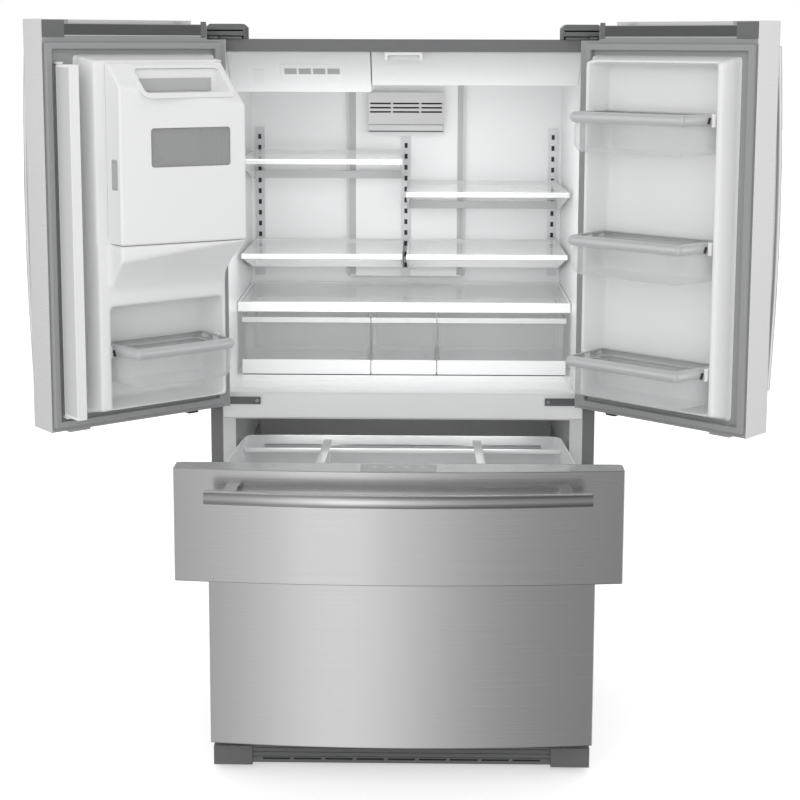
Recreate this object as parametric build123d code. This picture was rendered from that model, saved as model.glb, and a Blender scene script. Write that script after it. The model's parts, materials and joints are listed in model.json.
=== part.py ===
from build123d import *
import os
from math import sqrt

# French door refrigerator: two upper doors, a full-width middle drawer and a freezer drawer.
# Frame: X to the right seen from the front, Y towards the back, Z up, in millimetres.
# Origin: on the floor, in the middle of the cabinet's footprint.
# "depth" below is the distance behind the cabinet's front plane, so what is in front is negative.
# "u" is the distance from the cabinet's side towards its middle, so it reads the same on both doors.

# ---- overall sizes
CABINET_WIDTH = 905.0
CABINET_DEPTH = 700.0
CABINET_TOP = 1748.0
FRONT_OVERHANG = 1.5            # the doors and drawer fronts are this much wider on each side
CROWN = 26.0                    # bow of the fronts over the whole width
FRONT_EDGE = 76.6               # front edges ahead of the cabinet's front plane
SEAL_GAP = 14.0                 # room for the gaskets
SEAL_CLEARANCE = 0.6
SHEET = 1.2                     # steel sheet
LINER = 2.5                     # liner wall

# ---- heights of the stack of fronts
SHELL_BOTTOM = 61.0
FREEZER_FRONT_BOTTOM = 87.0
FREEZER_FRONT_HEIGHT = 558.0
FRONT_GAP = 13.0
MID_FRONT_HEIGHT = 236.0
DOOR_GAP = 9.0
DOOR_ABOVE_TOP = 40.0

# ---- cabinet openings
SIDE_FLANGE = 28.5              # painted return of the outer shell around the front
FRESH_WALL = 40.5               # outer side to the inside of the fresh-food liner
DRAWER_WALL = 58.5              # outer side to the inside of the drawer liners
LINER_DEPTH = 600.0
DIVIDER_HEIGHT = 64.0           # between the middle compartment and the fresh-food compartment
MID_OPENING_HEIGHT = 189.0
LOWER_RAIL_HEIGHT = 44.0
FREEZER_FLOOR = 110.0
MACHINE_HEIGHT = 250.0          # compressor compartment
MACHINE_DEPTH = 250.0
INLET_X = (330.0, 380.0)
INLET_RISE = (70.0, 100.0)
FAN_X = -60.0                   # condenser fan
FAN_RISE = 92.0
EVAPORATOR_FAN_DROP = 70.0
FOOT_INSET = 45.0
FOOT_FRONT = 58.0
FOOT_REAR = 52.0

# ---- doors
HINGE_INSET = 18.1              # hinge axis from the cabinet's side
HINGE_FORWARD = 44.0            # hinge axis ahead of the front plane
HINGE_PIN_RADIUS = 6.0
HINGE_PLATE = 5.0
PIN_CLEARANCE = 0.05
LEFT_DOOR_OPEN = 141.0          # degrees, as it stands
RIGHT_DOOR_OPEN = 138.5
CENTRE_GAP = 5.0
CAP_HEIGHT = 42.0
BOTTOM_CAP_HEIGHT = 22.0
HINGE_NOTCH = 48.0              # low zone of the top cap beside the hinge
PLUG_HINGE_SIDE = 46.0          # door liner plug from the cabinet's side
LINER_STEP = 12.0               # low step of the door liner beside its plug, at the hinge
LINER_STEP_RISE = 10.0
GASKET_HINGE_SIDE = 19.0
GASKET_WIDTH = 14.0
LEFT_PLUG_FREE = 377.0
RIGHT_PLUG_FREE = 410.0
PLUG_DRAFT = 12.0
PLUG_TOP_MARGIN = 76.0
PLUG_BOTTOM_MARGIN = 36.0
DIKE_RISE = 40.0                # ridge of the liner behind the front plane
LEFT_DIKE_RISE = 57.0
RECESS_DEPTH = 36.0             # how far the bin area goes into the door
RECESS_DRAFT = 8.0
HANDLE_RADIUS = 14.0
HANDLE_BOW = 20.0
HANDLE_STANDOFF = 58.0
DOOR_HANDLE_LENGTH = 752.0
DOOR_HANDLE_INSET = 45.0
POST_INSET = 62.0
POST_WIDTH = 20.0

# ---- door bins
BIN_WALL = 3.0
BIN_HEIGHT = 89.0
BIN_FRONT = 120.0               # bin front behind the front plane when the door is shut
BIN_SILL = 12.0                 # lowest part of the liner's recess above its plug's lower edge
RIDGE_HINGE = 12.0              # width of the liner's ridge at the plug's edges
RIGHT_RIDGE_FREE = 24.0
LEFT_RIDGE_FREE = 38.0
BIN_RECESS_GAP = 2.0            # bin from the recess's mouth
BIN_TAPER_HINGE = 4.0
BIN_TAPER_FREE = 24.0
BIN_CORNER = 18.0
BIN_RIM = 3.0
RIM_HEIGHT = 22.0
RIGHT_BIN_AT = (0.680, 0.3747, 0.0700)    # bin floors, as shares of the door's height
LEFT_BIN_AT = 0.1100

# ---- ice room and dispenser
ICE_TOP_AT = 0.897
ICE_FACET_AT = 0.789            # where the sloped top meets the front
ICE_SEAM_AT = 0.463             # lower edge of the ice room
BULGE_LOW_AT = 0.320
ICE_SIDE = 340.0
ICE_FRONT_FREE = 112.0          # front of the ice room at its free side and at its hinge side
ICE_FRONT_HINGE = 156.0
ICE_DOOR_WALL = 4.0
ICE_PIN_RADIUS = 3.0
ICE_PIN_LENGTH = 8.0
ICE_LUG = 5.0                    # ear on the liner that holds the cover's upper pin
ICE_BARREL = 6.0                 # radius of the cover's round hinge edge
ICE_WINDOW_U = (92.0, 272.0)
ICE_WINDOW_DROP = (41.0, 124.0)  # window edges below the front's upper edge
ICE_PORT_U = (75.0, 285.0)
ICE_PORT_RISE = (33.0, 83.0)     # port edges above the front's upper edge
DISPENSER_U = (150.0, 330.0)
DISPENSER_LOW_AT = 0.330
DISPENSER_HIGH_AT = 0.700
DISPENSER_DEPTH = 62.0
DISPENSER_RIM = 8.0
DISPLAY_SHARE = 0.36            # upper part of the dispenser that is a control panel
PADDLE_HALF = 32.0
PADDLE_LENGTH = 104.0
PADDLE_PIN_RADIUS = 2.5

# ---- flipper mullion
FLIPPER_WIDTH = 62.0
FLIPPER_THICK = 21.0
FLIPPER_HINGE_U = 421.0
FLIPPER_HINGE_DEPTH = 7.0
FLIPPER_PIN_RADIUS = 3.0
FLIPPER_TOP_GAP = 26.0
FLIPPER_BOTTOM_GAP = 16.0

# ---- middle drawer and freezer drawer
MID_DRAWER_OUT = 511.0          # as it stands
FRONT_BOX_DEPTH = 46.0          # steel box at the edges of a drawer front
TUB_SIDE_GAP = 14.0             # tub from the liner, for the slides
TUB_WALL = 3.0
TUB_DEPTH = 575.0
TUB_TOP_GAP = 8.0
TUB_BOTTOM_GAP = 12.0
TUB_REAR_DROP = 46.0
DIVIDER_AT = 176.0
DIVIDER_WIDTH = 20.0
BASKET_DEPTH = 480.0
BASKET_TOP_GAP = 60.0
BASKET_BOTTOM_GAP = 14.0
BASKET_REAR_STEP = 120.0
DRAWER_HANDLE_INSET = 70.0
DRAWER_HANDLE_DROP = 44.0
SLIDE_HEIGHT = 22.0
SLIDE_THICK = 4.0
SLIDE_LENGTH = 520.0
MID_SLIDE_RISE = 30.0
FREEZER_SLIDE_RISE = 250.0

# ---- fresh-food interior
TOWER_WIDTH = 296.0
TOWER_THICK = 25.0
VENT_SIZE = (198.0, 35.0, 104.0)
VENT_DROP = 108.0               # top of the grille below the ceiling
LADDER_WIDTH = 25.0
LADDER_THICK = 4.0
LADDER_PITCH = 29.0
LADDER_DROP = 203.0
CENTRE_LADDER_DROP = 224.0
SIDE_LADDER_INSET = 9.0
SHELF_SIDE_GAP = 10.0
SHELF_CENTRE_GAP = 5.0
SHELF_REAR = 560.0
GLASS = 4.0
SHELF_FRONT = 192.0
LOWER_SHELF_FRONT = 228.0
SHELF_BRACKET_DROP = 74.0
SHELF_BAR = 19.0
# shelf tops, as shares of the height between the crisper cover and the ceiling
UPPER_LEFT_AT = 0.576
UPPER_RIGHT_AT = 0.447
LOWER_AT = 0.190
COVER_ABOVE_FLOOR = 182.0
COVER_FRONT = 206.0
COVER_TRIM = 24.0
CRISPER_FRONT = 204.0
CRISPER_DEPTH = 340.0
CRISPER_HEIGHT = 142.0
CRISPER_GAP = 2.0
CENTRE_CRISPER_WIDTH = 161.0
CRISPER_WALL = 3.0
HOUSING_FRONT = 52.0
HOUSING_REAR = 300.0
LEFT_HOUSING_DROP = 96.0
RIGHT_HOUSING_DROP = 79.0
HOUSING_SPLIT = -77.0           # X of the joint between the control and the light housing
GUIDE_SIZE = (88.0, 36.0, 20.0)
GUIDE_WALL = 8.0

# ---- worked out from the sizes above
HALF = CABINET_WIDTH / 2
FRONT_HALF = HALF + FRONT_OVERHANG
FRONT = -CABINET_DEPTH / 2
REAR = CABINET_DEPTH
CROWN_RADIUS = (FRONT_HALF ** 2 + CROWN ** 2) / (2 * CROWN)
FREEZER_FRONT_TOP = FREEZER_FRONT_BOTTOM + FREEZER_FRONT_HEIGHT
MID_FRONT_BOTTOM = FREEZER_FRONT_TOP + FRONT_GAP
MID_FRONT_TOP = MID_FRONT_BOTTOM + MID_FRONT_HEIGHT
DOOR_BOTTOM = MID_FRONT_TOP + DOOR_GAP
DOOR_TOP = CABINET_TOP + DOOR_ABOVE_TOP
DOOR_HEIGHT = DOOR_TOP - DOOR_BOTTOM
FRESH_FLOOR = DOOR_BOTTOM + 22.0
FRESH_CEILING = CABINET_TOP - SIDE_FLANGE
MID_CEILING = FRESH_FLOOR - DIVIDER_HEIGHT
MID_FLOOR = MID_CEILING - MID_OPENING_HEIGHT
FREEZER_CEILING = MID_FLOOR - LOWER_RAIL_HEIGHT
FRESH_HALF = HALF - FRESH_WALL
DRAWER_HALF = HALF - DRAWER_WALL
COVER_TOP = FRESH_FLOOR + COVER_ABOVE_FLOOR
SHELF_SPAN = FRESH_CEILING - COVER_TOP
MACHINE_FRONT = REAR - MACHINE_DEPTH
CAP_BASE = DOOR_TOP - CAP_HEIGHT
INLET_Z = (SHELL_BOTTOM + INLET_RISE[0], SHELL_BOTTOM + INLET_RISE[1])


def block(x, depth, z):
    """Box from three (low, high) pairs, the middle one as depth behind the front plane."""
    size = [high - low for low, high in (x, depth, z)]
    middle = [(low + high) / 2 for low, high in (x, depth, z)]
    return Pos(middle[0], FRONT + middle[1], middle[2]) * Box(*size)


def prism(points, z):
    """Vertical prism over a plan outline of (x, depth) points."""
    outline = Polygon(*[(x, FRONT + depth) for x, depth in points], align=None)
    return Pos(0, 0, z[0]) * extrude(outline, z[1] - z[0], dir=(0, 0, 1))


def side_prism(points, x):
    """Prism along X over a side outline of (depth, z) points."""
    outline = Plane.YZ * Polygon(*[(FRONT + depth, height) for depth, height in points], align=None)
    return Pos(x[0], 0, 0) * extrude(outline, x[1] - x[0], dir=(1, 0, 0))


def tube_z(x, depth, z, radius):
    """Vertical cylinder."""
    return Pos(x, FRONT + depth, (z[0] + z[1]) / 2) * Cylinder(radius, z[1] - z[0])


def tube_y(x, depth, z, radius):
    """Cylinder along the depth."""
    middle = (depth[0] + depth[1]) / 2
    return Pos(x, FRONT + middle, z) * Rot(90, 0, 0) * Cylinder(radius, depth[1] - depth[0])


def tube_x(x, depth, z, radius):
    """Cylinder across the cabinet."""
    return Pos((x[0] + x[1]) / 2, FRONT + depth, z) * Rot(0, 90, 0) * Cylinder(radius, x[1] - x[0])


def crown_depth(x, inset=0.0):
    """Depth of the bowed front surface at x."""
    return -(FRONT_EDGE + sqrt(CROWN_RADIUS ** 2 - x ** 2) - (CROWN_RADIUS - CROWN)) + inset


def crowned(x, back, z, inset=0.0):
    """Solid between the plane at depth `back` and the bowed front surface, set back by `inset`."""
    left, right = x
    corners = [(at, FRONT + crown_depth(at, inset)) for at in (left, (left + right) / 2, right)]
    bow = ThreePointArc(*corners)
    outline = Polyline(corners[2], (right, FRONT + back), (left, FRONT + back), corners[0])
    return Pos(0, 0, z[0]) * extrude(make_face([bow, outline]), z[1] - z[0], dir=(0, 0, 1))


def pair(shape):
    """A right-hand piece and its mirror image."""
    return [shape, mirror(shape, about=Plane.YZ)]


def solids_of(items):
    """All the solids in a list of shapes."""
    found = []
    for item in items:
        found.extend(item.solids())
    return found


def save(name, *items):
    """Write one node as a STEP file."""
    solids = solids_of(items)
    shape = solids[0] if len(solids) == 1 else Compound(children=solids)
    export_step(shape, f"parts/{name}.step")


# ---------------------------------------------------------------- cabinet

def outer_shell():
    """Painted wrapper of sides and top, with the return flange around the front."""
    z = (SHELL_BOTTOM, CABINET_TOP)
    depth = (0, REAR - SHEET)
    body = block((-HALF, HALF), depth, z)
    body -= block((-HALF + SHEET, HALF - SHEET), (SHEET, REAR), (0, CABINET_TOP - SHEET))
    half = HALF - SIDE_FLANGE
    return body - block((-half, half), (-1, LINER), (0, FRESH_CEILING))


def rear_panel():
    """Back sheet with louvres over the compressor compartment."""
    panel = block((-HALF, HALF), (REAR - SHEET, REAR), (SHELL_BOTTOM, CABINET_TOP))
    for row in range(8):
        for column in (-260, -130, 0, 130, 260):
            z = SHELL_BOTTOM + 60 + row * 16
            panel -= block((column - 45, column + 45), (REAR - 5, REAR + 5), (z, z + 6))
    inlet = block(INLET_X, (REAR - 5, REAR + 5), INLET_Z)
    return panel - inlet


def power_inlet():
    """Socket for the mains lead, in the rear panel."""
    body = block(INLET_X, (REAR - 28, REAR), INLET_Z)
    mouth_x = (INLET_X[0] + 6, INLET_X[1] - 6)
    mouth_z = (INLET_Z[0] + 5, INLET_Z[1] - 5)
    return body - block(mouth_x, (REAR - 20, REAR + 1), mouth_z)


def base_frame():
    """Steel base tray with four levelling feet and a middle foot under its centre."""
    tray = block((-HALF + SHEET, HALF - SHEET), (24, REAR - SHEET), (SHELL_BOTTOM - 3, SHELL_BOTTOM))
    for depth in (24, REAR - SHEET - 22):
        tray += block((-HALF + 8, HALF - 8), (depth, depth + 22), (SHELL_BOTTOM - 36, SHELL_BOTTOM - 3))
    places = [(0, CABINET_DEPTH / 2)]
    for x in (-HALF + FOOT_INSET, HALF - FOOT_INSET):
        places += [(x, FOOT_FRONT), (x, REAR - FOOT_REAR)]
    feet = []
    for x, depth in places:
        pad = tube_z(x, depth, (0, 10), 20) + tube_z(x, depth, (10, SHELL_BOTTOM - 3), 7)
        feet.append(pad)
    return [tray] + feet


def stepped_liner_room():
    """Inside of the freezer liner, stepped over the compressor compartment."""
    half = DRAWER_HALF
    step = SHELL_BOTTOM + MACHINE_HEIGHT + 30
    high = block((-half, half), (0, LINER_DEPTH), (step, FREEZER_CEILING))
    return high + block((-half, half), (0, MACHINE_FRONT - 40), (FREEZER_FLOOR, FREEZER_CEILING))


def liner_shell(half, z, flange_z):
    """Open-fronted liner with a flange that meets the outer shell."""
    outer = block((-half - LINER, half + LINER), (LINER, LINER_DEPTH + LINER), (z[0] - LINER, z[1] + LINER))
    flange_half = HALF - SIDE_FLANGE
    outer += block((-flange_half, flange_half), (0, LINER), flange_z)
    return outer - block((-half, half), (-1, LINER_DEPTH), z)


def freezer_liner_outer():
    """Outside of the stepped freezer liner."""
    half = DRAWER_HALF + LINER
    step = SHELL_BOTTOM + MACHINE_HEIGHT + 30 - LINER
    top = FREEZER_CEILING + LINER
    high = block((-half, half), (0, LINER_DEPTH + LINER), (step, top))
    return high + block((-half, half), (0, MACHINE_FRONT - 40 + LINER), (FREEZER_FLOOR - LINER, top))


def freezer_liner():
    """Freezer liner with its flange."""
    flange_half = HALF - SIDE_FLANGE
    flange = block((-flange_half, flange_half), (0, LINER), (FREEZER_FLOOR - LINER, FREEZER_CEILING + LINER))
    room = stepped_liner_room()
    return (freezer_liner_outer() + flange) - room - block((-DRAWER_HALF, DRAWER_HALF), (-1, 1),
                                                           (FREEZER_FLOOR, FREEZER_CEILING))


def rail_blocks():
    """Front rails below, between and above the compartments."""
    half = HALF - SIDE_FLANGE
    depth = (0, 30)
    divider = block((-half, half), depth, (MID_CEILING + LINER, FRESH_FLOOR - LINER))
    lower = block((-half, half), depth, (FREEZER_CEILING + LINER, MID_FLOOR - LINER))
    sill = block((-half, half), depth, (SHELL_BOTTOM, FREEZER_FLOOR - LINER))
    return [divider, lower, sill]


def foam():
    """Foam between the outer shell and the liners."""
    body = block((-HALF + SHEET, HALF - SHEET), (LINER, REAR - SHEET), (SHELL_BOTTOM, CABINET_TOP - SHEET))
    fresh = FRESH_HALF + LINER
    body -= block((-fresh, fresh), (0, LINER_DEPTH + LINER), (FRESH_FLOOR - LINER, FRESH_CEILING + LINER))
    drawer = DRAWER_HALF + LINER
    body -= block((-drawer, drawer), (0, LINER_DEPTH + LINER), (MID_FLOOR - LINER, MID_CEILING + LINER))
    body -= freezer_liner_outer()
    for rail in rail_blocks():
        body -= rail
    machine = (SHELL_BOTTOM, SHELL_BOTTOM + MACHINE_HEIGHT)
    return body - block((-HALF, HALF), (MACHINE_FRONT, REAR), machine)


def base_grille():
    """Toe grille between two foot covers."""
    low, high = 13.0, SHELL_BOTTOM
    cover = 93.0
    grille = block((-HALF + cover, HALF - cover), (-28, -4), (low + 4, high - 1))
    slot_count = 9
    span = CABINET_WIDTH - 2 * cover - 40
    pitch = span / slot_count
    for slot in range(slot_count):
        x = -span / 2 + pitch * slot
        grille -= block((x + 5, x + pitch - 5), (-30, 0), (low + 12, low + 20))
    ends = [block((side * HALF - (cover if side > 0 else 0), side * HALF + (0 if side > 0 else cover)),
                  (-34, 20), (low, high)) for side in (-1, 1)]
    body = grille + ends[0] + ends[1]
    return body


def machine_parts():
    """Compressor, condenser coil, and the two fans with their centres."""
    floor = SHELL_BOTTOM
    middle = REAR - MACHINE_DEPTH / 2
    can = tube_z(-250, middle, (floor + 18, floor + 168), 82)
    can = fillet(can.edges().filter_by(GeomType.CIRCLE), 30)
    for dx in (-70, 70):
        can += block((-250 + dx - 14, -250 + dx + 14), (middle - 60, middle + 60), (floor, floor + 24))
    fins = []
    for index in range(12):
        x = 60 + index * 14
        fins.append(block((x, x + 1.5), (middle - 60, middle + 40), (floor + 8, floor + 158)))
    coil = fins[0]
    for fin in fins[1:]:
        coil += fin
    for row in range(3):
        for column in range(4):
            coil += tube_x((52, 224), middle - 45 + row * 35, floor + 30 + column * 35, 4)
    motor = tube_y(FAN_X, (middle + 10, middle + 46), floor + FAN_RISE, 24)
    motor += block((FAN_X - 10, FAN_X + 10), (middle + 14, middle + 40), (floor, floor + FAN_RISE))
    return can, [coil, motor]


def fan(x, depth, z, radius, blades=5):
    """Axial fan with its shaft along the depth."""
    rotor = tube_y(x, (depth, depth + 16), z, radius * 0.3)
    for index in range(blades):
        blade = Box(radius * 0.72, 2.0, radius * 0.42)
        turn = Pos(x, FRONT + depth + 8, z) * Rot(0, 360 / blades * index, 0)
        rotor += turn * Pos(radius * 0.62, 0, 0) * Rot(28, 0, 0) * blade
    return rotor


def evaporator():
    """Finned coil behind the freezer's rear duct panel."""
    low = SHELL_BOTTOM + MACHINE_HEIGHT + 50
    panel = block((-DRAWER_HALF + 2, DRAWER_HALF - 2), (508, 511), (low - 10, FREEZER_CEILING - 6))
    coil = block((-240, 240), (530, 590), (low, low + 4))
    coil += block((-240, 240), (530, 590), (low + 110, low + 114))
    for index in range(25):
        x = -240 + index * 19.9
        coil += block((x, x + 1.5), (530, 590), (low, low + 114))
    motor = tube_y(0, (511, 538), FREEZER_CEILING - EVAPORATOR_FAN_DROP, 20)
    return [panel, coil, motor]


# ---------------------------------------------------------------- fresh-food interior

def share_up(share):
    """Height at a share of the space between the crisper cover and the ceiling."""
    return COVER_TOP + share * SHELF_SPAN


TOWER_FRONT = LINER_DEPTH - TOWER_THICK


def air_tower():
    """Duct cover on the rear wall, with sloped sides."""
    half = TOWER_WIDTH / 2
    base = half + 12
    outline = [(-base, LINER_DEPTH), (-half, TOWER_FRONT), (half, TOWER_FRONT), (base, LINER_DEPTH)]
    return prism(outline, (COVER_TOP + 12, FRESH_CEILING - 1))


def vent_grille():
    """Louvred filter cover on the tower."""
    width, thick, height = VENT_SIZE
    top = FRESH_CEILING - VENT_DROP
    depth = (TOWER_FRONT - thick, TOWER_FRONT)
    body = block((-width / 2, width / 2), depth, (top - height, top))
    for row in range(3):
        z = top - 27 - row * 11
        for low, high in ((-94, -40), (-34, 34), (40, 94)):
            body -= block((low, high), (depth[0] - 1, depth[0] + 20), (z - 4, z))
    return body


def ladder(x, depth, top):
    """Slotted strip that shelves hook into."""
    low = COVER_TOP + 14
    strip = block((x - LADDER_WIDTH / 2, x + LADDER_WIDTH / 2), (depth - LADDER_THICK, depth), (low, top))
    count = int((top - low - 20) / LADDER_PITCH)
    for rung in range(count):
        z = top - 18 - rung * LADDER_PITCH
        strip -= block((x - 4, x + 4), (depth - LADDER_THICK - 1, depth + 1), (z - 13, z))
    return strip


def ladders():
    """The three slotted strips."""
    side = FRESH_HALF - SIDE_LADDER_INSET - LADDER_WIDTH / 2
    top = FRESH_CEILING - LADDER_DROP
    middle = ladder(0, TOWER_FRONT, FRESH_CEILING - CENTRE_LADDER_DROP)
    return [ladder(-side, LINER_DEPTH, top), middle, ladder(side, LINER_DEPTH, top)]


def shelf(side, top, front):
    """Frame of a half shelf on one side: front trim, rear bar and two side brackets; and its pane."""
    inner, outer = SHELF_CENTRE_GAP, FRESH_HALF - SHELF_SIDE_GAP
    x = (inner, outer) if side > 0 else (-outer, -inner)
    trim = block(x, (front, front + 12), (top - 12, top))
    bar_low = top - SHELF_BRACKET_DROP
    frame = trim + block(x, (SHELF_REAR - 12, SHELF_REAR), (bar_low, bar_low + SHELF_BAR))
    frame += block(x, (SHELF_REAR - 4, SHELF_REAR), (top - 12, top))
    for low in (x[0], x[1] - 4):
        bracket = [(front + 6, top - 12), (front + 6, top - GLASS), (SHELF_REAR, top - GLASS),
                   (SHELF_REAR, top - SHELF_BRACKET_DROP), (SHELF_REAR - 40, top - SHELF_BRACKET_DROP)]
        frame += side_prism(bracket, (low, low + 4))
    pane = block(x, (front + 12, SHELF_REAR - 4), (top - GLASS, top))
    return frame, pane


def crisper_cover():
    """Full-width frame over the crispers, and its pane."""
    half = FRESH_HALF - 2
    low = COVER_TOP - COVER_TRIM
    rear = SHELF_REAR
    frame = block((-half, half), (COVER_FRONT, COVER_FRONT + 10), (low, COVER_TOP))
    frame += block((-half, half), (rear - 10, rear), (COVER_TOP - 12, COVER_TOP))
    for x in (-half, half - 6):
        frame += block((x, x + 6), (COVER_FRONT, rear), (COVER_TOP - 12, COVER_TOP))
    pane = block((-half + 6, half - 6), (COVER_FRONT + 10, rear - 10), (COVER_TOP - GLASS, COVER_TOP))
    return frame, pane


def crisper(x):
    """Clear drawer with a white front sill."""
    low = FRESH_FLOOR + 2
    depth = (CRISPER_FRONT, CRISPER_FRONT + CRISPER_DEPTH)
    wall = CRISPER_WALL
    tub = block(x, (depth[0] + 6, depth[1]), (low, low + CRISPER_HEIGHT))
    room_depth = (depth[0] + 6 + wall, depth[1] - wall)
    tub -= block((x[0] + wall, x[1] - wall), room_depth, (low + wall, low + CRISPER_HEIGHT + 1))
    sill = block(x, (depth[0], depth[0] + 6), (low, low + 36))
    return tub + sill


def ceiling_housings():
    """Sloped control housing on the left and light housing on the right."""
    left = housing(LEFT_HOUSING_DROP, (-FRESH_HALF, HOUSING_SPLIT - 1))
    return [left, housing(RIGHT_HOUSING_DROP, (HOUSING_SPLIT + 1, FRESH_HALF))]


def housing(drop, x):
    """Housing under the ceiling with a front that slopes back at 45 degrees."""
    top = FRESH_CEILING
    front = [(HOUSING_FRONT, top), (HOUSING_FRONT, top - 4), (HOUSING_FRONT + drop, top - drop)]
    return side_prism(front + [(HOUSING_REAR, top - drop), (HOUSING_REAR, top)], x)


def mullion_guide():
    """Cradle under the ceiling that catches the flipper's lug."""
    width, thick, height = GUIDE_SIZE
    top = FRESH_CEILING
    body = block((-width / 2, width / 2), (LINER, LINER + thick), (top - height, top))
    half = width / 2 - GUIDE_WALL
    return body - block((-half, half), (0, LINER + thick - GUIDE_WALL), (top - height - 1, top - GUIDE_WALL))


# ---------------------------------------------------------------- hinges

def hinge_arm(z, side):
    """Plate that carries a hinge pin ahead of the cabinet."""
    x = side * (HALF - HINGE_INSET)
    reach = block(sorted((x - side * 16, x + side * 16)), (-HINGE_FORWARD, -8), z)
    return reach + tube_z(x, -HINGE_FORWARD, z, 16)


def top_hinge(side):
    """Plate on the cabinet's top with its pin."""
    z = (CABINET_TOP, CABINET_TOP + HINGE_PLATE)
    x = side * (HALF - HINGE_INSET)
    plate = hinge_arm(z, side) + block(sorted((side * (HALF - 4), side * (HALF - 84))), (-8, 76), z)
    return plate + tube_z(x, -HINGE_FORWARD, (CAP_BASE - 16, z[1]), HINGE_PIN_RADIUS)


CENTRE_HINGE_Z = (DOOR_BOTTOM - 7.0, DOOR_BOTTOM - 2.5)


def centre_hinge(side):
    """Plate on the divider with the lower hinge pin."""
    x = side * (HALF - HINGE_INSET)
    z = CENTRE_HINGE_Z
    arm = block((x - 16, x + 16), (-HINGE_FORWARD, 0), z) + tube_z(x, -HINGE_FORWARD, z, 16)
    arm += block(sorted((side * (HALF - 5), side * (HALF - 118))), (-4, 0), (z[0], z[1] + 13))
    return arm + tube_z(x, -HINGE_FORWARD, (z[0], DOOR_BOTTOM + 16), HINGE_PIN_RADIUS)


def hinge_cover(side):
    """Moulded cover over the top hinge."""
    z = (CABINET_TOP, CABINET_TOP + 34)
    x = sorted((side * (HALF - 1), side * (HALF - 90)))
    body = block(x, (-8, 84), z)
    body = chamfer(body.faces().sort_by(Axis.Z)[-1].edges(), 8)
    return body - block((x[0] + 2.5, x[1] - 2.5), (-10, 81), (CABINET_TOP - 1, CABINET_TOP + 16))


# ---------------------------------------------------------------- doors

def door_x(side, u):
    """X of a point u from the cabinet's side, on the side given."""
    return side * (HALF - u)


def span_x(side, low, high):
    """Sorted X pair for two distances from the cabinet's side."""
    return tuple(sorted((door_x(side, low), door_x(side, high))))


def door_z(share):
    """Height at a share of the door's height."""
    return DOOR_BOTTOM + share * DOOR_HEIGHT


DOOR_U = (-FRONT_OVERHANG, HALF - CENTRE_GAP / 2)
PLUG_Z = (DOOR_BOTTOM + PLUG_BOTTOM_MARGIN, DOOR_TOP - PLUG_TOP_MARGIN)


def door_skin(side):
    """Steel front and sides of a door, cut away beside the top hinge."""
    x = span_x(side, *DOOR_U)
    z = (DOOR_BOTTOM, DOOR_TOP)
    skin = crowned(x, -SEAL_GAP, z)
    inner = (x[0] + SHEET, x[1] - SHEET)
    skin -= crowned(inner, 5, (z[0] - 1, z[1] + 1), SHEET)
    return skin - block(span_x(side, -10, HINGE_NOTCH), (-200, 0), (CAP_BASE, DOOR_TOP + 5))


def door_frame(side, plug_free):
    """Top and bottom caps joined by the inner frame that the liner comes through."""
    u = (DOOR_U[0] + SHEET, DOOR_U[1] - SHEET)
    x = span_x(side, *u)
    low = (DOOR_BOTTOM + 1, DOOR_BOTTOM + BOTTOM_CAP_HEIGHT)
    high = (CAP_BASE - 30, DOOR_TOP - 1)
    body = crowned(x, -SEAL_GAP, low, SHEET) + crowned(x, -SEAL_GAP, high, SHEET)
    body += block(x, (-SEAL_GAP - 3, -SEAL_GAP), (low[1], high[0]))
    body -= block(span_x(side, PLUG_HINGE_SIDE, plug_free), (-SEAL_GAP - 4, 0), PLUG_Z)
    body -= block(span_x(side, -10, HINGE_NOTCH), (-200, 0), (CAP_BASE, DOOR_TOP + 5))
    step = block(span_x(side, HINGE_NOTCH, DOOR_U[1] - 62), (-200, 0), (DOOR_TOP - 9, DOOR_TOP + 5))
    body -= step
    hole = HINGE_PIN_RADIUS + PIN_CLEARANCE
    pin_x = door_x(side, HINGE_INSET)
    body -= tube_z(pin_x, -HINGE_FORWARD, (CAP_BASE - 18, CAP_BASE + 5), hole)
    return body - tube_z(pin_x, -HINGE_FORWARD, (DOOR_BOTTOM, DOOR_BOTTOM + 18), hole)


def plug(side, plug_free, rise):
    """Tapered plug of a door liner that goes into the compartment."""
    base = span_x(side, PLUG_HINGE_SIDE, plug_free)
    tip = span_x(side, PLUG_HINGE_SIDE + PLUG_DRAFT / 3, plug_free - PLUG_DRAFT)
    z_tip = (PLUG_Z[0] + PLUG_DRAFT, PLUG_Z[1] - PLUG_DRAFT)
    lower = Plane.XZ.offset(-(FRONT - SEAL_GAP)) * rectangle(base, PLUG_Z)
    upper = Plane.XZ.offset(-(FRONT + rise)) * rectangle(tip, z_tip)
    return loft([lower, upper])


def liner_step(side):
    """Low step of the liner between its plug and the gasket at the hinge side."""
    u = (PLUG_HINGE_SIDE - LINER_STEP, PLUG_HINGE_SIDE + LINER_STEP / 2)
    return block(span_x(side, *u), (-SEAL_GAP, -SEAL_GAP + LINER_STEP_RISE), PLUG_Z)


def rectangle(x, z):
    """Rectangle from two (low, high) pairs."""
    return Pos((x[0] + x[1]) / 2, (z[0] + z[1]) / 2) * Rectangle(x[1] - x[0], z[1] - z[0])


def recess(side, u, z, rise):
    """Cut for the bin area of a door liner, with drafted sides."""
    mouth = rectangle(span_x(side, *u), z)
    floor_u = (u[0] + RECESS_DRAFT, u[1] - RECESS_DRAFT)
    floor = rectangle(span_x(side, *floor_u), (z[0] + RECESS_DRAFT, z[1] - RECESS_DRAFT))
    outer = Plane.XZ.offset(-(FRONT + rise + 1)) * mouth
    inner = Plane.XZ.offset(-(FRONT - RECESS_DEPTH)) * floor
    return loft([inner, outer])


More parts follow.
